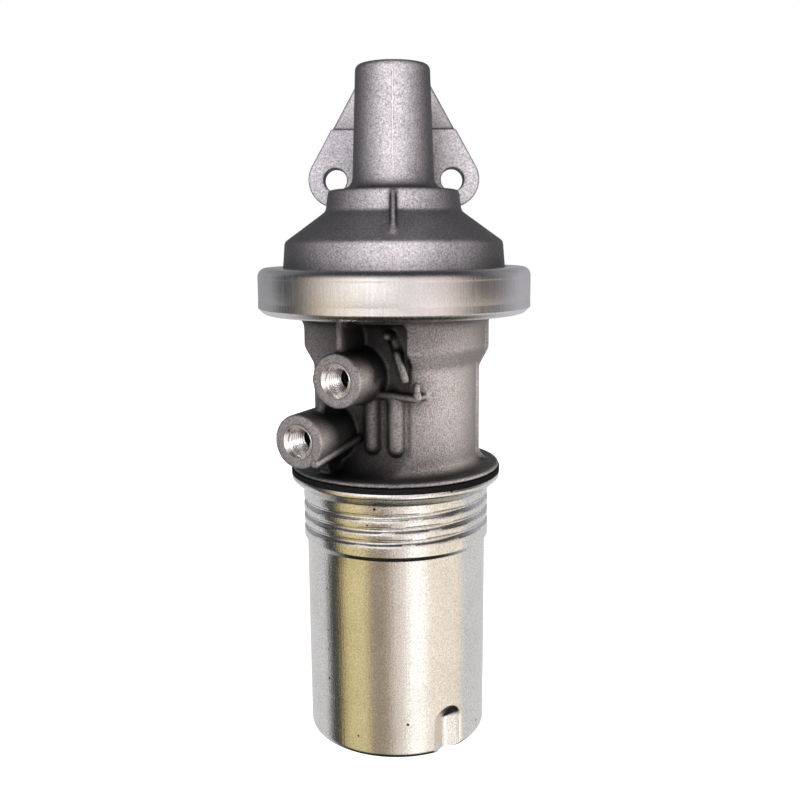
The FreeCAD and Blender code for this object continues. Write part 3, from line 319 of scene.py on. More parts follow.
@dataclass(frozen=True)
class CastAlloy(Finish):
    """Satin die-cast alloy with a fine sandy grain, with painted shade in its hollows and painted edge
    shade where it turns away from the view.
    """

    dark: Colour
    light: Colour
    metallic: float = 0.16
    roughness: float = 0.46
    rough_change: float = 0.12
    grain_share: float = 0.8
    bump: float = 1.0
    # Painted shade settings: how much colour stays at turned-away edges and how fast it fades, then how far
    # and how strongly hollows darken.
    painted_edge_shade_share: float = 0.14
    painted_edge_shade_power: float = 2.2
    painted_hollow_shade_reach: float = 24 * MM
    painted_hollow_shade_power: float = 3.0
    painted_hollow_shade_samples: int = 8
    _: KW_ONLY
    grain_scale: float = 1450.0
    cloud_scale: float = 70.0
    bump_height: float = 0.12 * MM

    def surface(self, sheet: NodeSheet, grain: Sockets, place: NodeSocket, effects: Effects) -> dict:
        """Grain in the tone and the bump, and painted shade in the hollows and along the edges."""
        cloud = sheet.maths("MULTIPLY", grain["Cloud"], 1.0 - self.grain_share)
        tone = sheet.maths("MULTIPLY_ADD", grain["Grain"], self.grain_share, cloud)
        # Painted edge shade: the colour darkens where the surface turns away from the view.
        turned = sheet.add("ShaderNodeLayerWeight", {"Blend": 0.5}).outputs["Facing"]
        facing = sheet.maths("POWER", sheet.maths("SUBTRACT", 1.0, turned), self.painted_edge_shade_power)
        edge = sheet.maths("MULTIPLY_ADD", facing, 1.0 - self.painted_edge_shade_share, self.painted_edge_shade_share)
        # Painted hollow shade: ambient occlusion darkens the colour in hollows, corners and under nearby
        # parts.
        painted_hollow_shade = sheet.add("ShaderNodeAmbientOcclusion", {"Distance": self.painted_hollow_shade_reach},
                           samples=self.painted_hollow_shade_samples).outputs["AO"]
        # Both painted shades together mix the grain's colour towards black.
        shade = sheet.maths("MULTIPLY", edge, sheet.maths("POWER", painted_hollow_shade, self.painted_hollow_shade_power))
        return {
            "Metallic": self.metallic,
            "Base Color": sheet.mix(shade, BLACK, sheet.mix(tone, self.dark, self.light)),
            "Roughness": sheet.maths("MULTIPLY_ADD", grain["Cloud"], self.rough_change, self.roughness),
            "Normal": sheet.bump(grain["Grain"], self.bump, self.bump_height)}


@dataclass(frozen=True)
class SheetSteel(Finish):
    """Bright drawn or rolled sheet with upright streaks and a few pits."""

    base: Colour
    tint: Colour
    roughness: float
    streaks: float
    pit_share: float
    specks: float
    bump: float
    across_scale: float = 1400.0
    along_scale: float = 60.0
    streak_height: float = 0.5
    pit_scale: float = 240.0
    pit_size: float = 0.18
    speck_colour: Colour = (0.16, 0.14, 0.12)
    pit_colour: Colour = (0.04, 0.035, 0.03)
    _: KW_ONLY
    cloud_scale: float = 45.0
    bump_height: float = 0.06 * MM

    def surface(self, sheet: NodeSheet, grain: Sockets, place: NodeSocket, effects: Effects) -> dict:
        """Streaks in the gloss and the bump, specks and pits in the colour."""
        streak = sheet.group(effects.brush, {
            "Place": place, "Across Scale": self.across_scale, "Along Scale": self.along_scale})["Streak"]
        pit = sheet.group(effects.pits, {
            "Place": place, "Spacing Scale": self.pit_scale, "Pit Size": self.pit_size,
            "Share": self.pit_share})["Pit"]
        clean = sheet.mix(grain["Cloud"], self.base, self.tint)
        speck = sheet.maths("MULTIPLY", sheet.maths("SUBTRACT", 1.0, grain["Grain"]), self.specks)
        height = sheet.maths("MULTIPLY_ADD", streak, self.streak_height, grain["Grain"])
        return {
            "Metallic": 1.0,
            "Base Color": sheet.mix(pit, sheet.mix(speck, clean, self.speck_colour), self.pit_colour),
            "Roughness": sheet.maths("MULTIPLY_ADD", streak, self.streaks, self.roughness),
            "Normal": sheet.bump(height, self.bump, self.bump_height)}


@dataclass(frozen=True)
class PlainFinish(Finish):
    """Two colours that change with the grain or the clouds, with gloss that changes with the other."""

    base: Colour
    other: Colour
    roughness: float
    rough_change: float = 0.15
    metallic: float = 1.0
    specular: float = 0.5
    bump: float = 0.15
    colour_by: str = "Cloud"
    gloss_by: str = "Grain"

    def surface(self, sheet: NodeSheet, grain: Sockets, place: NodeSocket, effects: Effects) -> dict:
        """Both colours, the gloss and a bump of grain."""
        return {
            "Metallic": self.metallic,
            "Specular IOR Level": self.specular,
            "Base Color": sheet.mix(grain[self.colour_by], self.base, self.other),
            "Roughness": sheet.maths(
                "MULTIPLY_ADD", grain[self.gloss_by], self.rough_change, self.roughness),
            "Normal": sheet.bump(grain["Grain"], self.bump, self.bump_height)}


@dataclass(frozen=True)
class PlainMetal(PlainFinish):
    """Turned, forged or drawn metal of an inner piece, with cloudy wear."""

    _: KW_ONLY
    grain_scale: float = 1200.0
    cloud_scale: float = 120.0
    bump_height: float = 0.08 * MM


@dataclass(frozen=True)
class SoftStuff(PlainFinish):
    """Rubber, cloth, fibre or paper, with grain in its colour."""

    rough_change: float = 0.1
    metallic: float = 0.0
    specular: float = 0.3
    bump: float = 0.2
    colour_by: str = "Grain"
    gloss_by: str = "Cloud"
    _: KW_ONLY
    cloud_scale: float = 90.0


FINISHES = {
    Slot.CASTING: CastAlloy("cast_alloy", (0.18, 0.16, 0.16), (1.0, 0.93, 0.93), metallic=0.1),
    Slot.FORGED: PlainMetal("forged_steel", (0.20, 0.19, 0.18), (0.32, 0.30, 0.28), 0.45),
    Slot.STEEL: PlainMetal("turned_steel", (0.50, 0.50, 0.50), (0.62, 0.61, 0.60), 0.28),
    Slot.BRONZE: PlainMetal("bronze_bush", (0.55, 0.36, 0.18), (0.68, 0.47, 0.26), 0.3),
    Slot.SPRING: PlainMetal("spring_wire", (0.28, 0.28, 0.29), (0.42, 0.42, 0.43), 0.32),
    Slot.RING: SheetSteel(
        "rolled_band", (0.70, 0.68, 0.67), (0.80, 0.78, 0.77),
        roughness=0.24, streaks=0.10, pit_share=0.0, specks=0.25, bump=0.3),
    Slot.CANISTER: SheetSteel(
        "canister_sheet", (0.82, 0.81, 0.79), (0.93, 0.92, 0.90),
        roughness=0.13, streaks=0.05, pit_share=0.3, specks=0.5, bump=0.35),
    Slot.RUBBER: SoftStuff("black_rubber", (0.005, 0.005, 0.005), (0.012, 0.012, 0.012), 0.7,
                           specular=0.08, grain_scale=900.0),
    Slot.CLOTH: SoftStuff("diaphragm_cloth", (0.04, 0.035, 0.03), (0.09, 0.08, 0.07), 0.65,
                          grain_scale=700.0),
    Slot.FIBRE: SoftStuff("fibre_gasket", (0.16, 0.11, 0.07), (0.24, 0.17, 0.11), 0.8, grain_scale=1100.0),
    Slot.PAPER: SoftStuff("filter_paper", (0.72, 0.66, 0.48), (0.85, 0.80, 0.64), 0.85, grain_scale=800.0),
    Slot.BRASS: PlainMetal("pressed_brass", (0.66, 0.50, 0.22), (0.78, 0.62, 0.34), 0.26),
}
# The upper casting's finish: a lilac tint, stronger painted edge shade and weaker painted hollow shade than
# the lower casting's.
UPPER_ALLOY = CastAlloy("cast_alloy_upper", (0.2, 0.185, 0.191), (1.0, 0.955, 0.98), painted_edge_shade_share=0.1,
                        painted_edge_shade_power=3.1, painted_hollow_shade_power=1.1)
# The seam's finish: a lighter tone that paints a highlight along the flash line, with weak painted edge
# shade and almost no painted hollow shade.
SEAM_ALLOY = CastAlloy("cast_seam", (0.55, 0.52, 0.53), (1.0, 0.95, 0.96), painted_edge_shade_share=0.6, painted_hollow_shade_power=0.2)
MACHINED = PlainMetal("machined_alloy", (0.62, 0.60, 0.59), (0.74, 0.72, 0.71), 0.22)


def deselect() -> None:
    """Leaves nothing selected."""
    if bpy.context.object and bpy.context.object.mode != "OBJECT":
        bpy.ops.object.mode_set(mode="OBJECT")
    bpy.ops.object.select_all(action="DESELECT")


def make_active(piece: Object) -> None:
    """Selects one object alone."""
    deselect()
    piece.select_set(True)
    bpy.context.view_layer.objects.active = piece


def primitive(operator: Callable, **settings) -> Object:
    """Adds one mesh primitive, alone and active.

    Args:
        operator: the operator that adds it.
        settings: its sizes and its place.

    Returns:
        The new object.
    """
    deselect()
    operator(**settings)
    return bpy.context.object


@contextmanager
def editing(piece: Object) -> Iterator[None]:
    """Edit mode on one object, with its whole mesh selected."""
    make_active(piece)
    bpy.ops.object.mode_set(mode="EDIT")
    bpy.ops.mesh.select_all(action="SELECT")
    yield
    bpy.ops.object.mode_set(mode="OBJECT")


def apply_modifier(piece: Object, kind: str, **settings) -> None:
    """Adds a modifier and applies it.

    Args:
        piece: the object.
        kind: the modifier's type.
        settings: its values.
    """
    make_active(piece)
    modifier = piece.modifiers.new(kind.lower(), kind)
    for name, value in settings.items():
        setattr(modifier, name, value)
    bpy.ops.object.modifier_apply(modifier=modifier.name)


def settle(piece: Object) -> None:
    """Moves the object's place and turn into its mesh."""
    make_active(piece)
    bpy.ops.object.transform_apply(location=True, rotation=True, scale=True)


def stand_along(piece: Object, place: Vector, way: Vector) -> None:
    """Sets a piece at a place with its Z axis along a direction."""
    piece.matrix_world = Matrix.Translation(place) @ way.to_track_quat("Z", "Y").to_matrix().to_4x4()
    settle(piece)


def smooth(piece: Object, degrees: float) -> None:
    """Shades a piece smooth, apart from edges sharper than an angle."""
    make_active(piece)
    bpy.ops.object.shade_smooth_by_angle(angle=math.radians(degrees))


def soften(piece: Object, voxel: float, strength: float, rounds: int) -> None:
    """Melts a piece's corners into small fillets, with a voxel mesh and rounds of smoothing."""
    apply_modifier(piece, "REMESH", mode="VOXEL", voxel_size=voxel, use_smooth_shade=True)
    apply_modifier(piece, "SMOOTH", factor=strength, iterations=rounds)


def join(pieces: list[Object], name: str) -> Object:
    """Joins objects into the last one of them.

    Args:
        pieces: the objects.
        name: the joined piece's name.

    Returns:
        The joined piece.
    """
    deselect()
    for piece in pieces:
        piece.select_set(True)
    bpy.context.view_layer.objects.active = pieces[-1]
    bpy.ops.object.join()
    pieces[-1].name = name
    return pieces[-1]


def coat(piece: Object, material: Material) -> None:
    """Gives a piece one material."""
    piece.data.materials.clear()
    piece.data.materials.append(material)


def orient(piece: Object, outside: Callable[[MeshPolygon], float]) -> None:
    """Turns an open sheet's faces to its outside.

    Args:
        piece: the turned sheet.
        outside: gives a number above 0 for a face that looks the right way.
    """
    with editing(piece):
        bpy.ops.mesh.normals_make_consistent(inside=False)
    if sum(outside(face) * face.area for face in piece.data.polygons) < 0:
        with editing(piece):
            bpy.ops.mesh.flip_normals()


def copy_node(node: str, name: str) -> Object:
    """Free copy of a CAD node with its points merged.

    Args:
        node: the node's name.
        name: the copy's name.

    Returns:
        The copy.
    """
    source = frame["nodes"][node]
    piece = source.copy()
    piece.data = source.data.copy()
    piece.name = name
    piece.parent = None
    bpy.context.scene.collection.objects.link(piece)
    for key in list(piece.keys()):
        del piece[key]
    with editing(piece):
        bpy.ops.mesh.remove_doubles(threshold=MERGE)
    return piece


def turn_profile(name: str, points: Profile, around: int) -> Object:
    """Extrudes a circle around the pump axis through a profile, and leaves its last circle selected.

    Args:
        name: the new piece's name.
        points: radii and heights.
        around: how many points each circle has.

    Returns:
        The open turned sheet.
    """
    radius, height = points[0]
    piece = primitive(bpy.ops.mesh.primitive_circle_add, vertices=around, radius=radius,
                      location=(0.0, AXIS_Y, height))
    piece.name = name
    settle(piece)
    with editing(piece):
        for next_radius, next_height in points[1:]:
            rise = (0.0, 0.0, next_height - height)
            bpy.ops.mesh.extrude_region_move(TRANSFORM_OT_translate={"value": rise})
            grow = next_radius / radius
            bpy.ops.transform.resize(value=(grow, grow, 1.0), center_override=(0.0, AXIS_Y, next_height))
            radius, height = next_radius, next_height
    return piece


def arc(centre: tuple[float, float], radius: float, first: float, last: float, steps: int) -> Profile:
    """Round corner of a profile.

    Args:
        centre: radius and height of the arc's centre.
        radius: the arc's own radius.
        first: its first direction in degrees, 0 outwards and 90 up.
        last: its last direction in degrees.
        steps: how many pieces it has.

    Returns:
        The arc's points.
    """
    points = []
    for step in range(steps + 1):
        turn = math.radians(first + (last - first) * step / steps)
        points.append((centre[0] + radius * math.cos(turn), centre[1] + radius * math.sin(turn)))
    return points


def ease(share: float) -> float:
    """Share between 0 and 1 with a soft start and end."""
    return 3 * share ** 2 - 2 * share ** 3


def face_point(right: float, out: float, height: float) -> Vector:
    """Point on the port face.

    Args:
        right: distance along the face to the right, in millimetres.
        out: distance out from the pump axis, in millimetres.
        height: height in millimetres.

    Returns:
        The place in metres.
    """
    return (PORT_RIGHT * right + PORT_OUT * out) * MM + Vector((0.0, AXIS_Y, height * MM))


class Modelled(ABC):
    """Piece that is shaped, coated, tied to the frame and logged."""

    def build(self, material: Material) -> Object:
        """Makes the finished piece.

        Args:
            material: the piece's finish.

        Returns:
            The piece.
        """
        piece = self.shape()
        coat(piece, material)
        log.info("%s: %d faces", piece.name, len(piece.data.polygons))
        return piece

    @abstractmethod
    def shape(self) -> Object:
        """Models the piece, and says what carries it and what it replaces.

        Returns:
            The piece without its finish.
        """


@dataclass
class CrimpedBand(Modelled):
    """Steel band rolled over both castings, with round shoulders and two fine roller lines."""

    radius: float = 56.4 * MM
    top: float = -38.1 * MM
    low: float = -57.1 * MM
    top_lip: float = 47.0 * MM
    low_lip: float = 44.0 * MM
    lip_drop: float = 0.5 * MM
    lip_slope: float = 0.4 * MM
    top_corner: float = 3.6 * MM
    low_corner: float = 4.4 * MM
    corner_steps: int = 8
    top_line: float = -42.4 * MM
    low_line: float = -53.0 * MM
    line_depth: float = 0.05 * MM
    line_half: float = 0.32 * MM
    wall: float = 1.1 * MM
    around: int = 320
    sharp: float = 60.0

    def profile(self) -> Profile:
        """Radii and heights of the outer face, from the top lip to the low lip."""
        points = [(self.top_lip, self.top - self.lip_drop), (self.top_lip + self.lip_slope, self.top)]
        points += arc((self.radius - self.top_corner, self.top - self.top_corner), self.top_corner,
                      90.0, 0.0, self.corner_steps)
        for line in (self.top_line, self.low_line):
            points += [(self.radius, line + self.line_half), (self.radius - self.line_depth, line),
                       (self.radius, line - self.line_half)]
        points += arc((self.radius - self.low_corner, self.low + self.low_corner), self.low_corner,
                      0.0, -90.0, self.corner_steps)
        return points + [(self.low_lip + self.lip_slope, self.low),
                         (self.low_lip, self.low + self.lip_drop)]

    def shape(self) -> Object:
        """Turns the band and gives it its thickness."""
        piece = turn_profile("rolled_band", self.profile(), self.around)
        axis = Vector((0.0, AXIS_Y, 0.0))
        orient(piece, lambda face: face.normal.xy.dot((face.center - axis).xy))
        apply_modifier(piece, "SOLIDIFY", thickness=self.wall, offset=-1.0)
        smooth(piece, self.sharp)
        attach(piece, "pump")
        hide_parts("crimp_ring")
        return piece


@dataclass
class Casting(Modelled):
    """Softened skin of one cast node, with the small fillets that a mould leaves."""

    node: str
    skin: str
    voxel: float = 0.6 * MM
    rounds: int = 9
    strength: float = 0.5

    def shape(self) -> Object:
        """Copies the node and rounds its corners."""
        piece = copy_node(self.node, self.skin)
        soften(piece, self.voxel, self.strength, self.rounds)
        make_active(piece)
        bpy.ops.object.shade_smooth()
        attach(piece, "pump")
        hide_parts(self.node)
        return piece


@dataclass
class PushSpring(Modelled):
    """Coil of a spring along the pump axis, copied from its node."""

    node: str
    coil: str
    joint: str
    fixed_end: float
    free_end: float
    travel: float
    sharp: float = 40.0

    def shape(self) -> Object:
        """Copies the node and rounds its shading."""
        piece = copy_node(self.node, self.coil)
        smooth(piece, self.sharp)
        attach(piece, "pump")
        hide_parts(self.node)
        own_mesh(piece)
        return piece


@dataclass
class DiaphragmFace(Modelled):
    """One face of the cloth sheet, clamped at its edge and lifted by the plates at its middle."""

    name: str
    upper: bool
    bore: float = 3.0 * MM
    bend_in: float = 35.6 * MM
    bend_out: float = 40.4 * MM
    edge: float = 55.2 * MM
    clamp_top: float = -47.3 * MM
    dish_top: float = -49.3 * MM
    thick: float = 0.8 * MM
    bends: int = 14
    around: int = 128
    sharp: float = 40.0

    def shape(self) -> Object:
        """Turns the face with its edge, and bends it between the castings and the plates."""
        drop = 0.0 if self.upper else self.thick
        clamp, dish = self.clamp_top - drop, self.dish_top - drop
        points = [(self.bore, dish), (self.bend_in / 2, dish)]
        for step in range(self.bends + 1):
            share = step / self.bends
            points.append((self.bend_in + (self.bend_out - self.bend_in) * share,
                           dish + (clamp - dish) * share))
        points.append((self.edge, clamp))
        if self.upper:
            points.insert(0, (self.bore, dish - self.thick))
        else:
            points.append((self.edge, clamp + self.thick))
        piece = turn_profile(self.name, points, self.around)
        orient(piece, lambda face: face.normal.z if self.upper else -face.normal.z)
        smooth(piece, self.sharp)
        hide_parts("diaphragm")
        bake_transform(piece)
        return piece


@dataclass
class PartingSeam(Modelled):
    """Thin flash line where the mould's halves met on the tower's front, with a few nicks."""

    top: float = 38.6 * MM
    low: float = -0.5 * MM
    top_radius: float = 15.24 * MM
    low_radius: float = 16.66 * MM
    width: float = 0.42 * MM
    thick: float = 0.5 * MM
    proud: float = 0.22 * MM
    cuts: int = 31
    wander: float = 0.07 * MM
    side_waves: tuple[float, float] = (0.9, 0.37)
    side_phase: float = 1.0
    depth_wave: float = 1.7
    depth_phase: float = 0.5
    nicks: tuple[float, ...] = (27.5 * MM, 25.9 * MM, 14.6 * MM, 6.8 * MM)
    nick_shift: float = 0.35 * MM
    nick_widening: float = 1.5
    nick_length: float = 1.3 * MM
    bevel: float = 0.08 * MM

    def shape(self) -> Object:
        """Lays the seam and its nicks on the tower."""
        seam = self._bar((self.top + self.low) / 2, 0.0, self.width, self.top - self.low)
        with editing(seam):
            bpy.ops.mesh.subdivide(number_cuts=self.cuts)
        for vertex in seam.data.vertices:
            height = vertex.co.z / MM
            sway = math.sin(height * self.side_waves[0])
            sway *= math.sin(height * self.side_waves[1] + self.side_phase)
            vertex.co.x += self.wander * sway
            vertex.co.y += self.wander * math.sin(height * self.depth_wave + self.depth_phase)
        marks = [self._bar(height, self.nick_shift * (-1) ** number, self.width * self.nick_widening,
                           self.nick_length) for number, height in enumerate(self.nicks)]
        piece = join(marks + [seam], "tower_seam")
        apply_modifier(piece, "BEVEL", width=self.bevel, segments=2)
        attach(piece, "pump")
        return piece

    def _bar(self, height: float, right: float, width: float, length: float) -> Object:
        """Upright bar at a height and to the right on the tower's front, leaning with its taper."""
        share = (height - self.low) / (self.top - self.low)
        radius = self.low_radius + (self.top_radius - self.low_radius) * share
        lean = math.atan2(self.low_radius - self.top_radius, self.top - self.low)
        place = (right, AXIS_Y - radius - self.proud + self.thick / 2, height)
        bar = primitive(bpy.ops.mesh.primitive_cube_add, size=1.0, location=place,
                        rotation=(-lean, 0.0, 0.0), scale=(width, self.thick, length))
        settle(bar)
        return bar


@dataclass
class Thread:
    """Rolled thread of the canister: a round-bottomed groove that runs out at both ends."""

    low: float = -147.9 * MM
    pitch: float = 5.2 * MM
    turns: float = 3.0
    half_width: float = 1.15 * MM
    depth: float = 0.8 * MM
    steepness: int = 4
    arch: float = 0.3 * MM
    start_turn: float = math.pi / 2
    run_out: float = 0.25

    def depth_at(self, turn: float, height: float) -> float:
        """Depth of the groove.

        Args:
            turn: place around the canister in radians, anticlockwise from +X.
            height: height in metres.

        Returns:
            How far the sheet lies inwards there.
        """
        along = ((turn - self.start_turn) / (2 * math.pi)) % 1.0
        travelled = round((height - self.low) / self.pitch - along) + along
        if not 0.0 <= travelled <= self.turns:
            return 0.0
        away = abs(height - self.low - travelled * self.pitch)
        fade = min(1.0, travelled / self.run_out, (self.turns - travelled) / self.run_out)
        crown = max(0.0, 1.0 - 2 * away / self.pitch)
        groove = max(0.0, 1.0 - (away / self.half_width) ** self.steepness)
        return fade * (self.depth * groove + self.arch * crown ** 2)


@dataclass
class Dent:
    """Wrench pocket pressed into the canister's foot: a V with an arched top."""

    turn: float
    half_width: float = 7.2 * MM
    depth: float = 4.4 * MM
    height: float = 12.9 * MM
    fall: float = 1.3
    lip: float = 0.16

    def depth_at(self, across: float, height: float) -> float:
        """Depth of the pocket.

        Args:
            across: distance from its middle along the sheet, in metres.
            height: height above the canister's foot, in metres.

        Returns:
            How far the sheet lies inwards there.
        """
        above = max(0.0, height - self.height)
        away = math.hypot(across, above) / self.half_width
        if away >= 1.0:
            return 0.0
        return self.depth * (1.0 - away ** self.fall) * ease(min(1.0, (1.0 - away) / self.lip))


@dataclass
class Canister(Modelled):
    """Drawn sheet cup with a rolled thread, a lip and two wrench pockets."""

    top: float = -124.15 * MM
    rim: float = 0.6 * MM
    lip_radius: float = 44.3 * MM
    lip_low: float = -126.95 * MM
    lip_corner: float = 1.4 * MM
    neck_radius: float = 40.0 * MM
    neck_top: float = -128.95 * MM
    neck_drop: float = 0.4 * MM
    neck_corner: float = 0.9 * MM
    sweep: float = 66.0
    crest_radius: float = 39.5 * MM
    crest_top: float = -130.5 * MM
    step_top: float = -151.0 * MM
    step_low: float = -153.4 * MM
    step_shares: tuple[float, ...] = (0.12, 0.28, 0.5, 0.72, 0.88, 1.0)
    wall_radius: float = 38.2 * MM
    foot_radius: float = 38.0 * MM
    foot: float = -238.1 * MM
    foot_shares: tuple[float, ...] = (0.93, 0.86, 0.78, 0.7, 0.6, 0.4, 0.2)
    corner: float = 2.6 * MM
    arc_steps: tuple[int, int, int] = (6, 4, 8)
    sheet: float = 0.8 * MM
    around: int = 352
    thread_step: float = 0.42 * MM
    wall_step: float = 8.0 * MM
    dent_step: float = 0.75 * MM
    dent_turn: float = 34.5
    dent_zone: float = 22.0 * MM
    sharp: float = 50.0

    def profile(self) -> Profile:
        """Radii and heights of the sheet's outer face, from the mouth to the foot's middle."""
        points = [(self.neck_radius, self.top), (self.lip_radius - self.rim, self.top),
                  (self.lip_radius - self.rim / 4, self.top - self.rim / 4),
                  (self.lip_radius, self.top - self.rim)]
        points += arc((self.lip_radius - self.lip_corner, self.lip_low + self.lip_corner),
                      self.lip_corner, 0.0, -self.sweep, self.arc_steps[0])
        neck = (self.neck_radius + self.neck_corner, self.neck_top - self.neck_drop - self.neck_corner)
        points += arc(neck, self.neck_corner, 180.0 - self.sweep, 180.0, self.arc_steps[1])
        rise = self.step_top - self.crest_top
        rows = round(-rise / self.thread_step)
        points += [(self.crest_radius, self.crest_top + rise * row / rows) for row in range(rows + 1)]
        for share in self.step_shares:
            points.append((self.crest_radius + (self.wall_radius - self.crest_radius) * ease(share),
                           self.step_top - (self.step_top - self.step_low) * share))
        height = self.step_low
        for step, limit in ((self.wall_step, self.dent_zone), (self.dent_step, self.corner)):
            while height - step > self.foot + limit:
                height -= step
                points.append((self._wall(height), height))
        middle = self.foot_radius - self.corner
        points += arc((middle, self.foot + self.corner), self.corner, 0.0, -90.0, self.arc_steps[2])
        return points + [(middle * share, self.foot) for share in self.foot_shares]

    def _wall(self, height: float) -> float:
        """Radius of the plain wall at a height."""
        share = (self.step_low - height) / (self.step_low - self.foot)
        return self.wall_radius + (self.foot_radius - self.wall_radius) * share

    def shape(self) -> Object:
        """Draws the cup, presses its thread and pockets, and gives the sheet its thickness."""
        piece = turn_profile("canister_shell", self.profile(), self.around)
        bpy.ops.object.mode_set(mode="EDIT")
        bpy.ops.mesh.extrude_region_move(TRANSFORM_OT_translate={"value": (0.0, 0.0, 0.0)})
        bpy.ops.mesh.merge(type="CENTER")
        with editing(piece):
            bpy.ops.mesh.normals_make_consistent(inside=False)
        self._press(piece)
        apply_modifier(piece, "SOLIDIFY", thickness=self.sheet, offset=-1.0, use_even_offset=False)
        smooth(piece, self.sharp)
        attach(piece, "canister")
        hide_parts("canister")
        return piece

    def _press(self, piece: Object) -> None:
        """Moves the sheet inwards at its thread and at both pockets."""
        thread = Thread()
        first = math.radians(self.dent_turn) - math.pi / 2
        dents = (Dent(first), Dent(first + math.pi))
        for vertex in piece.data.vertices:
            place = vertex.co
            flat = Vector((place.x, place.y - AXIS_Y, 0.0))
            if flat.length < self.foot_radius / 2:
                continue
            turn = math.atan2(flat.y, flat.x)
            inwards = 0.0
            if self.step_top < place.z < self.crest_top:
                inwards = thread.depth_at(turn, place.z)
            elif place.z < self.foot + self.dent_zone:
                for dent in dents:
                    gap = (turn - dent.turn + math.pi) % (2 * math.pi) - math.pi
                    inwards += dent.depth_at(gap * self.foot_radius, place.z - self.foot)
                inwards = max(0.0, inwards - (self.foot_radius - flat.length))
            vertex.co = place - flat.normalized() * inwards


@dataclass
class PortThread(Modelled):
    """Machined mouth and thread inside one port."""

    name: str
    mouth: Vector
    face_radius: float = 6.85 * MM
    chamfer_radius: float = 6.6 * MM
    root_radius: float = 5.45 * MM
    crest_radius: float = 4.85 * MM
    chamfer_depth: float = 1.2 * MM
    mouth_share: float = 1.6
    pitch: float = 1.41 * MM
    crest_from: float = 0.4
    crest_to: float = 0.55
    root_from: float = 0.95
    turns: int = 8
    proud: float = 0.05 * MM
    wall: float = 0.25 * MM
    steps: int = 56
    weld: float = 0.01 * MM
    sharp: float = 28.0

    def shape(self) -> Object:
        """Winds the thread, turns the mouth and sets both in the port."""
        root, crest, face = self.root_radius, self.crest_radius, self.proud
        low = -self.chamfer_depth - self.turns * self.pitch
        tooth = ((root, 0.0), (crest, self.crest_from), (crest, self.crest_to), (root, self.root_from),
                 (root, 1.0))
        thread = self._turn([(radius, low + share * self.pitch) for radius, share in tooth],
                            screw_offset=self.pitch, iterations=self.turns - 1)
        mouth = self._turn([(self.face_radius, face), (self.chamfer_radius, face),
                            (root, -self.chamfer_depth), (root, -self.mouth_share * self.chamfer_depth)])
        piece = join([mouth, thread], self.name)
        stand_along(piece, self.mouth, PORT_OUT)
        apply_modifier(piece, "SOLIDIFY", thickness=self.wall, offset=-1.0)
        smooth(piece, self.sharp)
        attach(piece, "pump")
        return piece

    def _turn(self, points: Profile, **settings) -> Object:
        """Turns an open outline around the port's axis, with settings for the screw."""
        piece = primitive(bpy.ops.mesh.primitive_circle_add, vertices=3, radius=self.root_radius)
        with editing(piece):
            bpy.ops.mesh.merge(type="CENTER")
            bpy.ops.transform.translate(value=(points[0][0], 0.0, points[0][1]))
            for (radius, height), (next_radius, next_height) in zip(points, points[1:]):
                move = (next_radius - radius, 0.0, next_height - height)
                bpy.ops.mesh.extrude_vertices_move(TRANSFORM_OT_translate={"value": move})
        apply_modifier(piece, "SCREW", axis="Z", steps=self.steps, render_steps=self.steps,
                       use_merge_vertices=True, merge_threshold=self.weld, use_normal_calculate=True,
                       **settings)
        return piece


@dataclass
class CastRidge(Modelled):
    """Soft rounded ridge on the lower casting, from one point to another."""

    name: str
    start: Vector
    end: Vector
    start_radius: float
    end_radius: float
    cone_around: int = 40
    ball_around: int = 32
    voxel: float = 0.35 * MM
    strength: float = 0.5
    rounds: int = 4

    def shape(self) -> Object:
        """Joins a cone and a ball and melts them together."""
        span = self.end - self.start
        cone = primitive(bpy.ops.mesh.primitive_cone_add, vertices=self.cone_around,
                         radius1=self.start_radius, radius2=self.end_radius, depth=span.length)
        stand_along(cone, (self.start + self.end) / 2, span)
        ball = primitive(bpy.ops.mesh.primitive_uv_sphere_add, segments=self.ball_around,
                         ring_count=self.ball_around // 2, radius=self.start_radius, location=self.start)
        settle(ball)
        piece = join([ball, cone], self.name)
        soften(piece, self.voxel, self.strength, self.rounds)
        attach(piece, "pump")
        return piece


def dress_nodes(materials: dict[Slot, Material]) -> None:
    """Gives each CAD node the finish of its slot.

    Args:
        materials: the finished materials by slot.
    """
    for row in frame["record"]["subparts"]:
        coat(frame["nodes"][row["node"]], materials[Slot(row["material_slot"])])
        log.info("%s dressed", row["node"])


LOWER_CASTING = ("cast_lower_body", *(row[0] for row in RIDGES))
PANEL_LIT = ("rolled_band", "canister_shell")
WARM: Colour = (1.0, 0.92, 0.86)
COOL: Colour = (0.95, 0.94, 1.0)

# Name, place, size, power, colour, whether it lights the lower casting alone, whether gloss shows it.
LAMPS = (
    ("key_lamp", (-0.14, -1.25, 0.16), 0.4, 11.5, COOL, False, True),
    ("warm_key_lamp", (0.42, -1.15, 0.16), 0.4, 2.2, WARM, False, True),
    ("body_front_lamp", (0.0, -1.25, 0.3), 0.45, 0.5, WHITE, True, True),
    ("body_right_lamp", (1.25, 0.02, -0.06), 0.5, 25.0, WARM, True, True),
    ("body_left_lamp", (-1.15, -0.3, 0.12), 0.5, 4.5, WHITE, True, True),
    ("back_lamp", (0.3, 1.1, 0.4), 0.8, 5.0, WHITE, False, False),
)

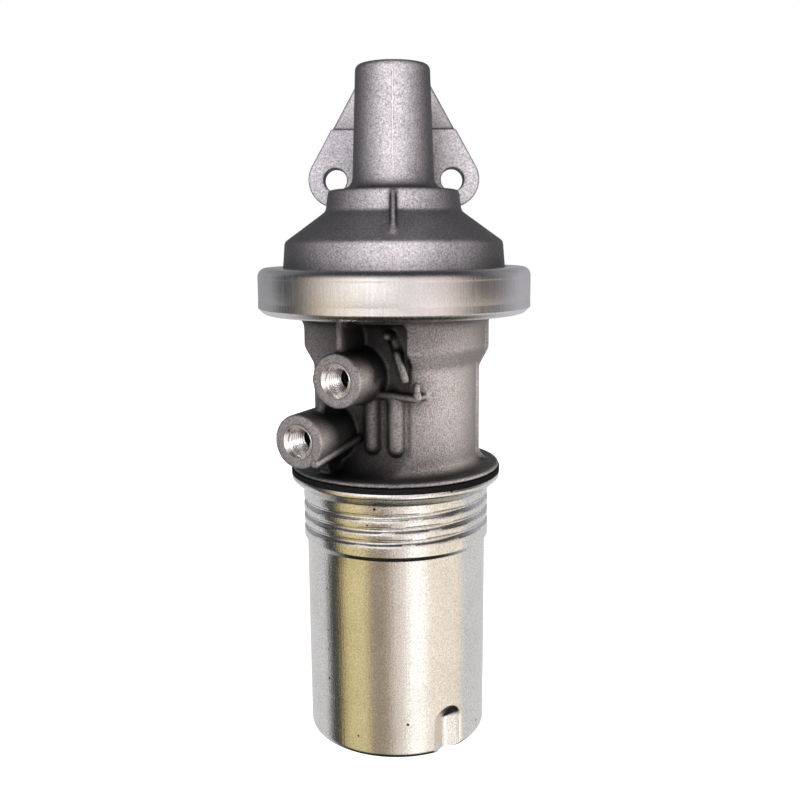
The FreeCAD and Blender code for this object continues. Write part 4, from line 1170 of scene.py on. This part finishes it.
# Degrees from the front, positive to the right, and the panel's colour there.
LOW_PANELS = (
    (-180, (0.72, 0.72, 0.73)), (-103, (0.76, 0.76, 0.77)), (-96, (0.06, 0.06, 0.065)),
    (-79, (0.08, 0.075, 0.06)), (-69, (0.78, 0.65, 0.32)), (-40, (0.88, 0.75, 0.42)),
    (-33, (0.40, 0.32, 0.23)), (-11, (0.44, 0.36, 0.28)), (-2, (0.94, 0.83, 0.74)),
    (11, (1.00, 0.90, 0.82)), (17, (1.55, 1.51, 1.46)), (34, (1.55, 1.51, 1.46)),
    (43, (1.18, 1.08, 0.94)), (88, (1.12, 1.01, 0.86)), (97, (0.80, 0.80, 0.81)),
    (180, (0.72, 0.72, 0.73)))
HIGH_PANELS = (
    (-180, (0.40, 0.41, 0.44)), (-120, (0.40, 0.41, 0.44)), (-104, (0.06, 0.06, 0.07)),
    (-84, (0.08, 0.08, 0.08)), (-62, (0.78, 0.69, 0.64)), (-42, (1.38, 1.28, 1.22)),
    (-18, (1.75, 1.72, 1.72)), (8, (1.08, 1.03, 1.06)), (42, (1.06, 0.94, 0.92)),
    (60, (0.45, 0.38, 0.37)), (72, (0.10, 0.09, 0.085)), (92, (0.17, 0.165, 0.165)),
    (118, (0.56, 0.56, 0.60)), (180, (0.48, 0.49, 0.53)))


@dataclass
class Studio:
    """Floor, light, reflected surroundings and camera."""

    lens: float = 42.9
    sensor: float = 36.0
    near_clip: float = 0.01
    camera_place: tuple[float, float, float] = (0.0021, -0.4585, -0.0276)
    camera_tilt: float = 9.47
    camera_roll: float = -0.4
    lamp_target: tuple[float, float, float] = (0.0, AXIS_Y, -0.09)
    floor_size: float = 8.0
    floor_height: float = -0.2381
    floor_tone: float = 0.93
    floor_roughness: float = 0.9
    floor_glow: float = 0.9
    soft_light: float = 0.12
    panel_seam: tuple[float, float] = (-13.0, -7.0)
    ceiling_band: tuple[float, float] = (16.0, 58.0)
    ceiling: Colour = (0.06, 0.06, 0.07)
    ground_band: tuple[float, float] = (-38.0, -58.0)
    ground: Colour = (0.02, 0.02, 0.02)

    def build(self) -> None:
        """Sets the world, the floor, the lamps and the camera."""
        self._world()
        self._floor()
        self._lamps()
        self._camera()

    def _world(self) -> None:
        """White to the eye, soft as a light, and a ring of studio panels to the gloss."""
        world = bpy.data.worlds.new("studio")
        bpy.context.scene.world = world
        world.use_nodes = True
        sheet = NodeSheet(world.node_tree)
        path = sheet.add("ShaderNodeLightPath").outputs
        seen = sheet.maths("MAXIMUM", path["Is Camera Ray"], path["Is Transmission Ray"])
        light = sheet.mix(path["Is Glossy Ray"], (self.soft_light,) * 3, self._panels(sheet))
        sheet.feed(world.node_tree.nodes["Background"], {"Color": sheet.mix(seen, light, WHITE)})

    def _panels(self, sheet: NodeSheet) -> NodeSocket:
        """Colour of the studio's panels by direction, below and above the camera's height."""
        way = sheet.add("ShaderNodeTexCoord").outputs["Generated"]
        axes = sheet.add("ShaderNodeSeparateXYZ", {0: way}).outputs
        turn = sheet.maths("ARCTAN2", axes[0], sheet.maths("MULTIPLY", axes[1], -1.0))
        around = sheet.maths("MULTIPLY_ADD", turn, 1 / (2 * math.pi), 0.5)
        rise = sheet.maths("ARCSINE", axes[2])
        colour = self._ramp(sheet, around, LOW_PANELS)
        for (first, last), other in (
                (self.panel_seam, self._ramp(sheet, around, HIGH_PANELS)),
                (self.ceiling_band, self.ceiling), (self.ground_band, self.ground)):
            share = sheet.stretch(rise, math.radians(first), math.radians(last))
            colour = sheet.mix(share, colour, other)
        return colour

    @staticmethod
    def _ramp(sheet: NodeSheet, around: NodeSocket, stops: tuple[tuple[float, Colour], ...]) -> NodeSocket:
        """Colour ramp over the whole turn.

        Args:
            sheet: where the ramp goes.
            around: 0 to 1 from one side of the back to the other, with the front at one half.
            stops: rows of the panels.

        Returns:
            The ramp's colour.
        """
        ramp = sheet.add("ShaderNodeValToRGB", {0: around})
        elements = ramp.color_ramp.elements
        while len(elements) < len(stops):
            elements.new(0.5)
        for element, (degrees, colour) in zip(elements, stops):
            element.position = degrees / 360 + 0.5
            element.color = (*colour, 1.0)
        return ramp.outputs["Color"]

    def _floor(self) -> None:
        """Pale floor, white to the eye apart from the object's shadow."""
        floor = primitive(bpy.ops.mesh.primitive_plane_add, size=self.floor_size,
                          location=(0.0, AXIS_Y, self.floor_height))
        floor.name = "floor"
        material, sheet, shader = new_material("pale_floor")
        seen = sheet.add("ShaderNodeLightPath").outputs["Is Camera Ray"]
        sheet.feed(shader, {
            "Base Color": (*(self.floor_tone,) * 3, 1.0),
            "Roughness": self.floor_roughness,
            "Emission Color": (*WHITE, 1.0),
            "Emission Strength": sheet.maths("MULTIPLY", seen, self.floor_glow)})
        coat(floor, material)
        floor.visible_glossy = False

    def _lamps(self) -> None:
        """Soft lamps: a front one for everything above, side ones for the lower casting, and one behind."""
        lower = bpy.data.collections.new("lower_casting_lit")
        others = bpy.data.collections.new("others_lit")
        for piece in bpy.context.scene.objects:
            if piece.type == "MESH" and piece.name not in PANEL_LIT:
                (lower if piece.name in LOWER_CASTING else others).objects.link(piece)
        for name, place, size, power, colour, lower_alone, in_gloss in LAMPS:
            data = bpy.data.lights.new(name, "AREA")
            data.size = size
            data.energy = power
            data.color = colour
            lamp = bpy.data.objects.new(name, data)
            bpy.context.scene.collection.objects.link(lamp)
            lamp.location = place
            aim = Vector(self.lamp_target) - lamp.location
            lamp.rotation_euler = aim.to_track_quat("-Z", "Y").to_euler()
            lamp.visible_glossy = in_gloss
            lamp.light_linking.receiver_collection = lower if lower_alone else others

    def _camera(self) -> None:
        """Camera at the photograph's angle."""
        data = bpy.data.cameras.new("camera")
        data.lens = self.lens
        data.sensor_width = self.sensor
        data.clip_start = self.near_clip
        camera = bpy.data.objects.new("camera", data)
        bpy.context.scene.collection.objects.link(camera)
        turn = Matrix.Rotation(math.radians(90.0 - self.camera_tilt), 4, "X")
        roll = Matrix.Rotation(math.radians(self.camera_roll), 4, "Z")
        camera.matrix_world = Matrix.Translation(self.camera_place) @ turn @ roll
        bpy.context.scene.camera = camera


def main() -> None:
    """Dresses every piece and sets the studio."""
    effects = Effects()
    materials = {slot: finish.build(effects) for slot, finish in FINISHES.items()}
    dress_nodes(materials)
    Casting("rocker_housing", "cast_upper_body").build(UPPER_ALLOY.build(effects))
    Casting("valve_body", "cast_lower_body", rounds=14).build(materials[Slot.CASTING])
    PartingSeam().build(SEAM_ALLOY.build(effects))
    for name, start, end, *radii in RIDGES:
        CastRidge(name, face_point(*start), face_point(*end), *radii).build(materials[Slot.CASTING])
    CrimpedBand().build(materials[Slot.RING])
    Canister().build(materials[Slot.CANISTER])
    for row in SPRINGS:
        PushSpring(*row).build(materials[Slot.SPRING])
    DiaphragmFace("diaphragm_upper_face", upper=True).build(materials[Slot.CLOTH])
    DiaphragmFace("diaphragm_lower_face", upper=False).build(materials[Slot.CLOTH])
    machined = MACHINED.build(effects)
    for name, mouth in PORTS:
        PortThread(name, face_point(*mouth)).build(machined)
    Studio().build()
    bpy.context.scene.view_settings.view_transform = "Standard"


if __name__ == "__main__":
    main()
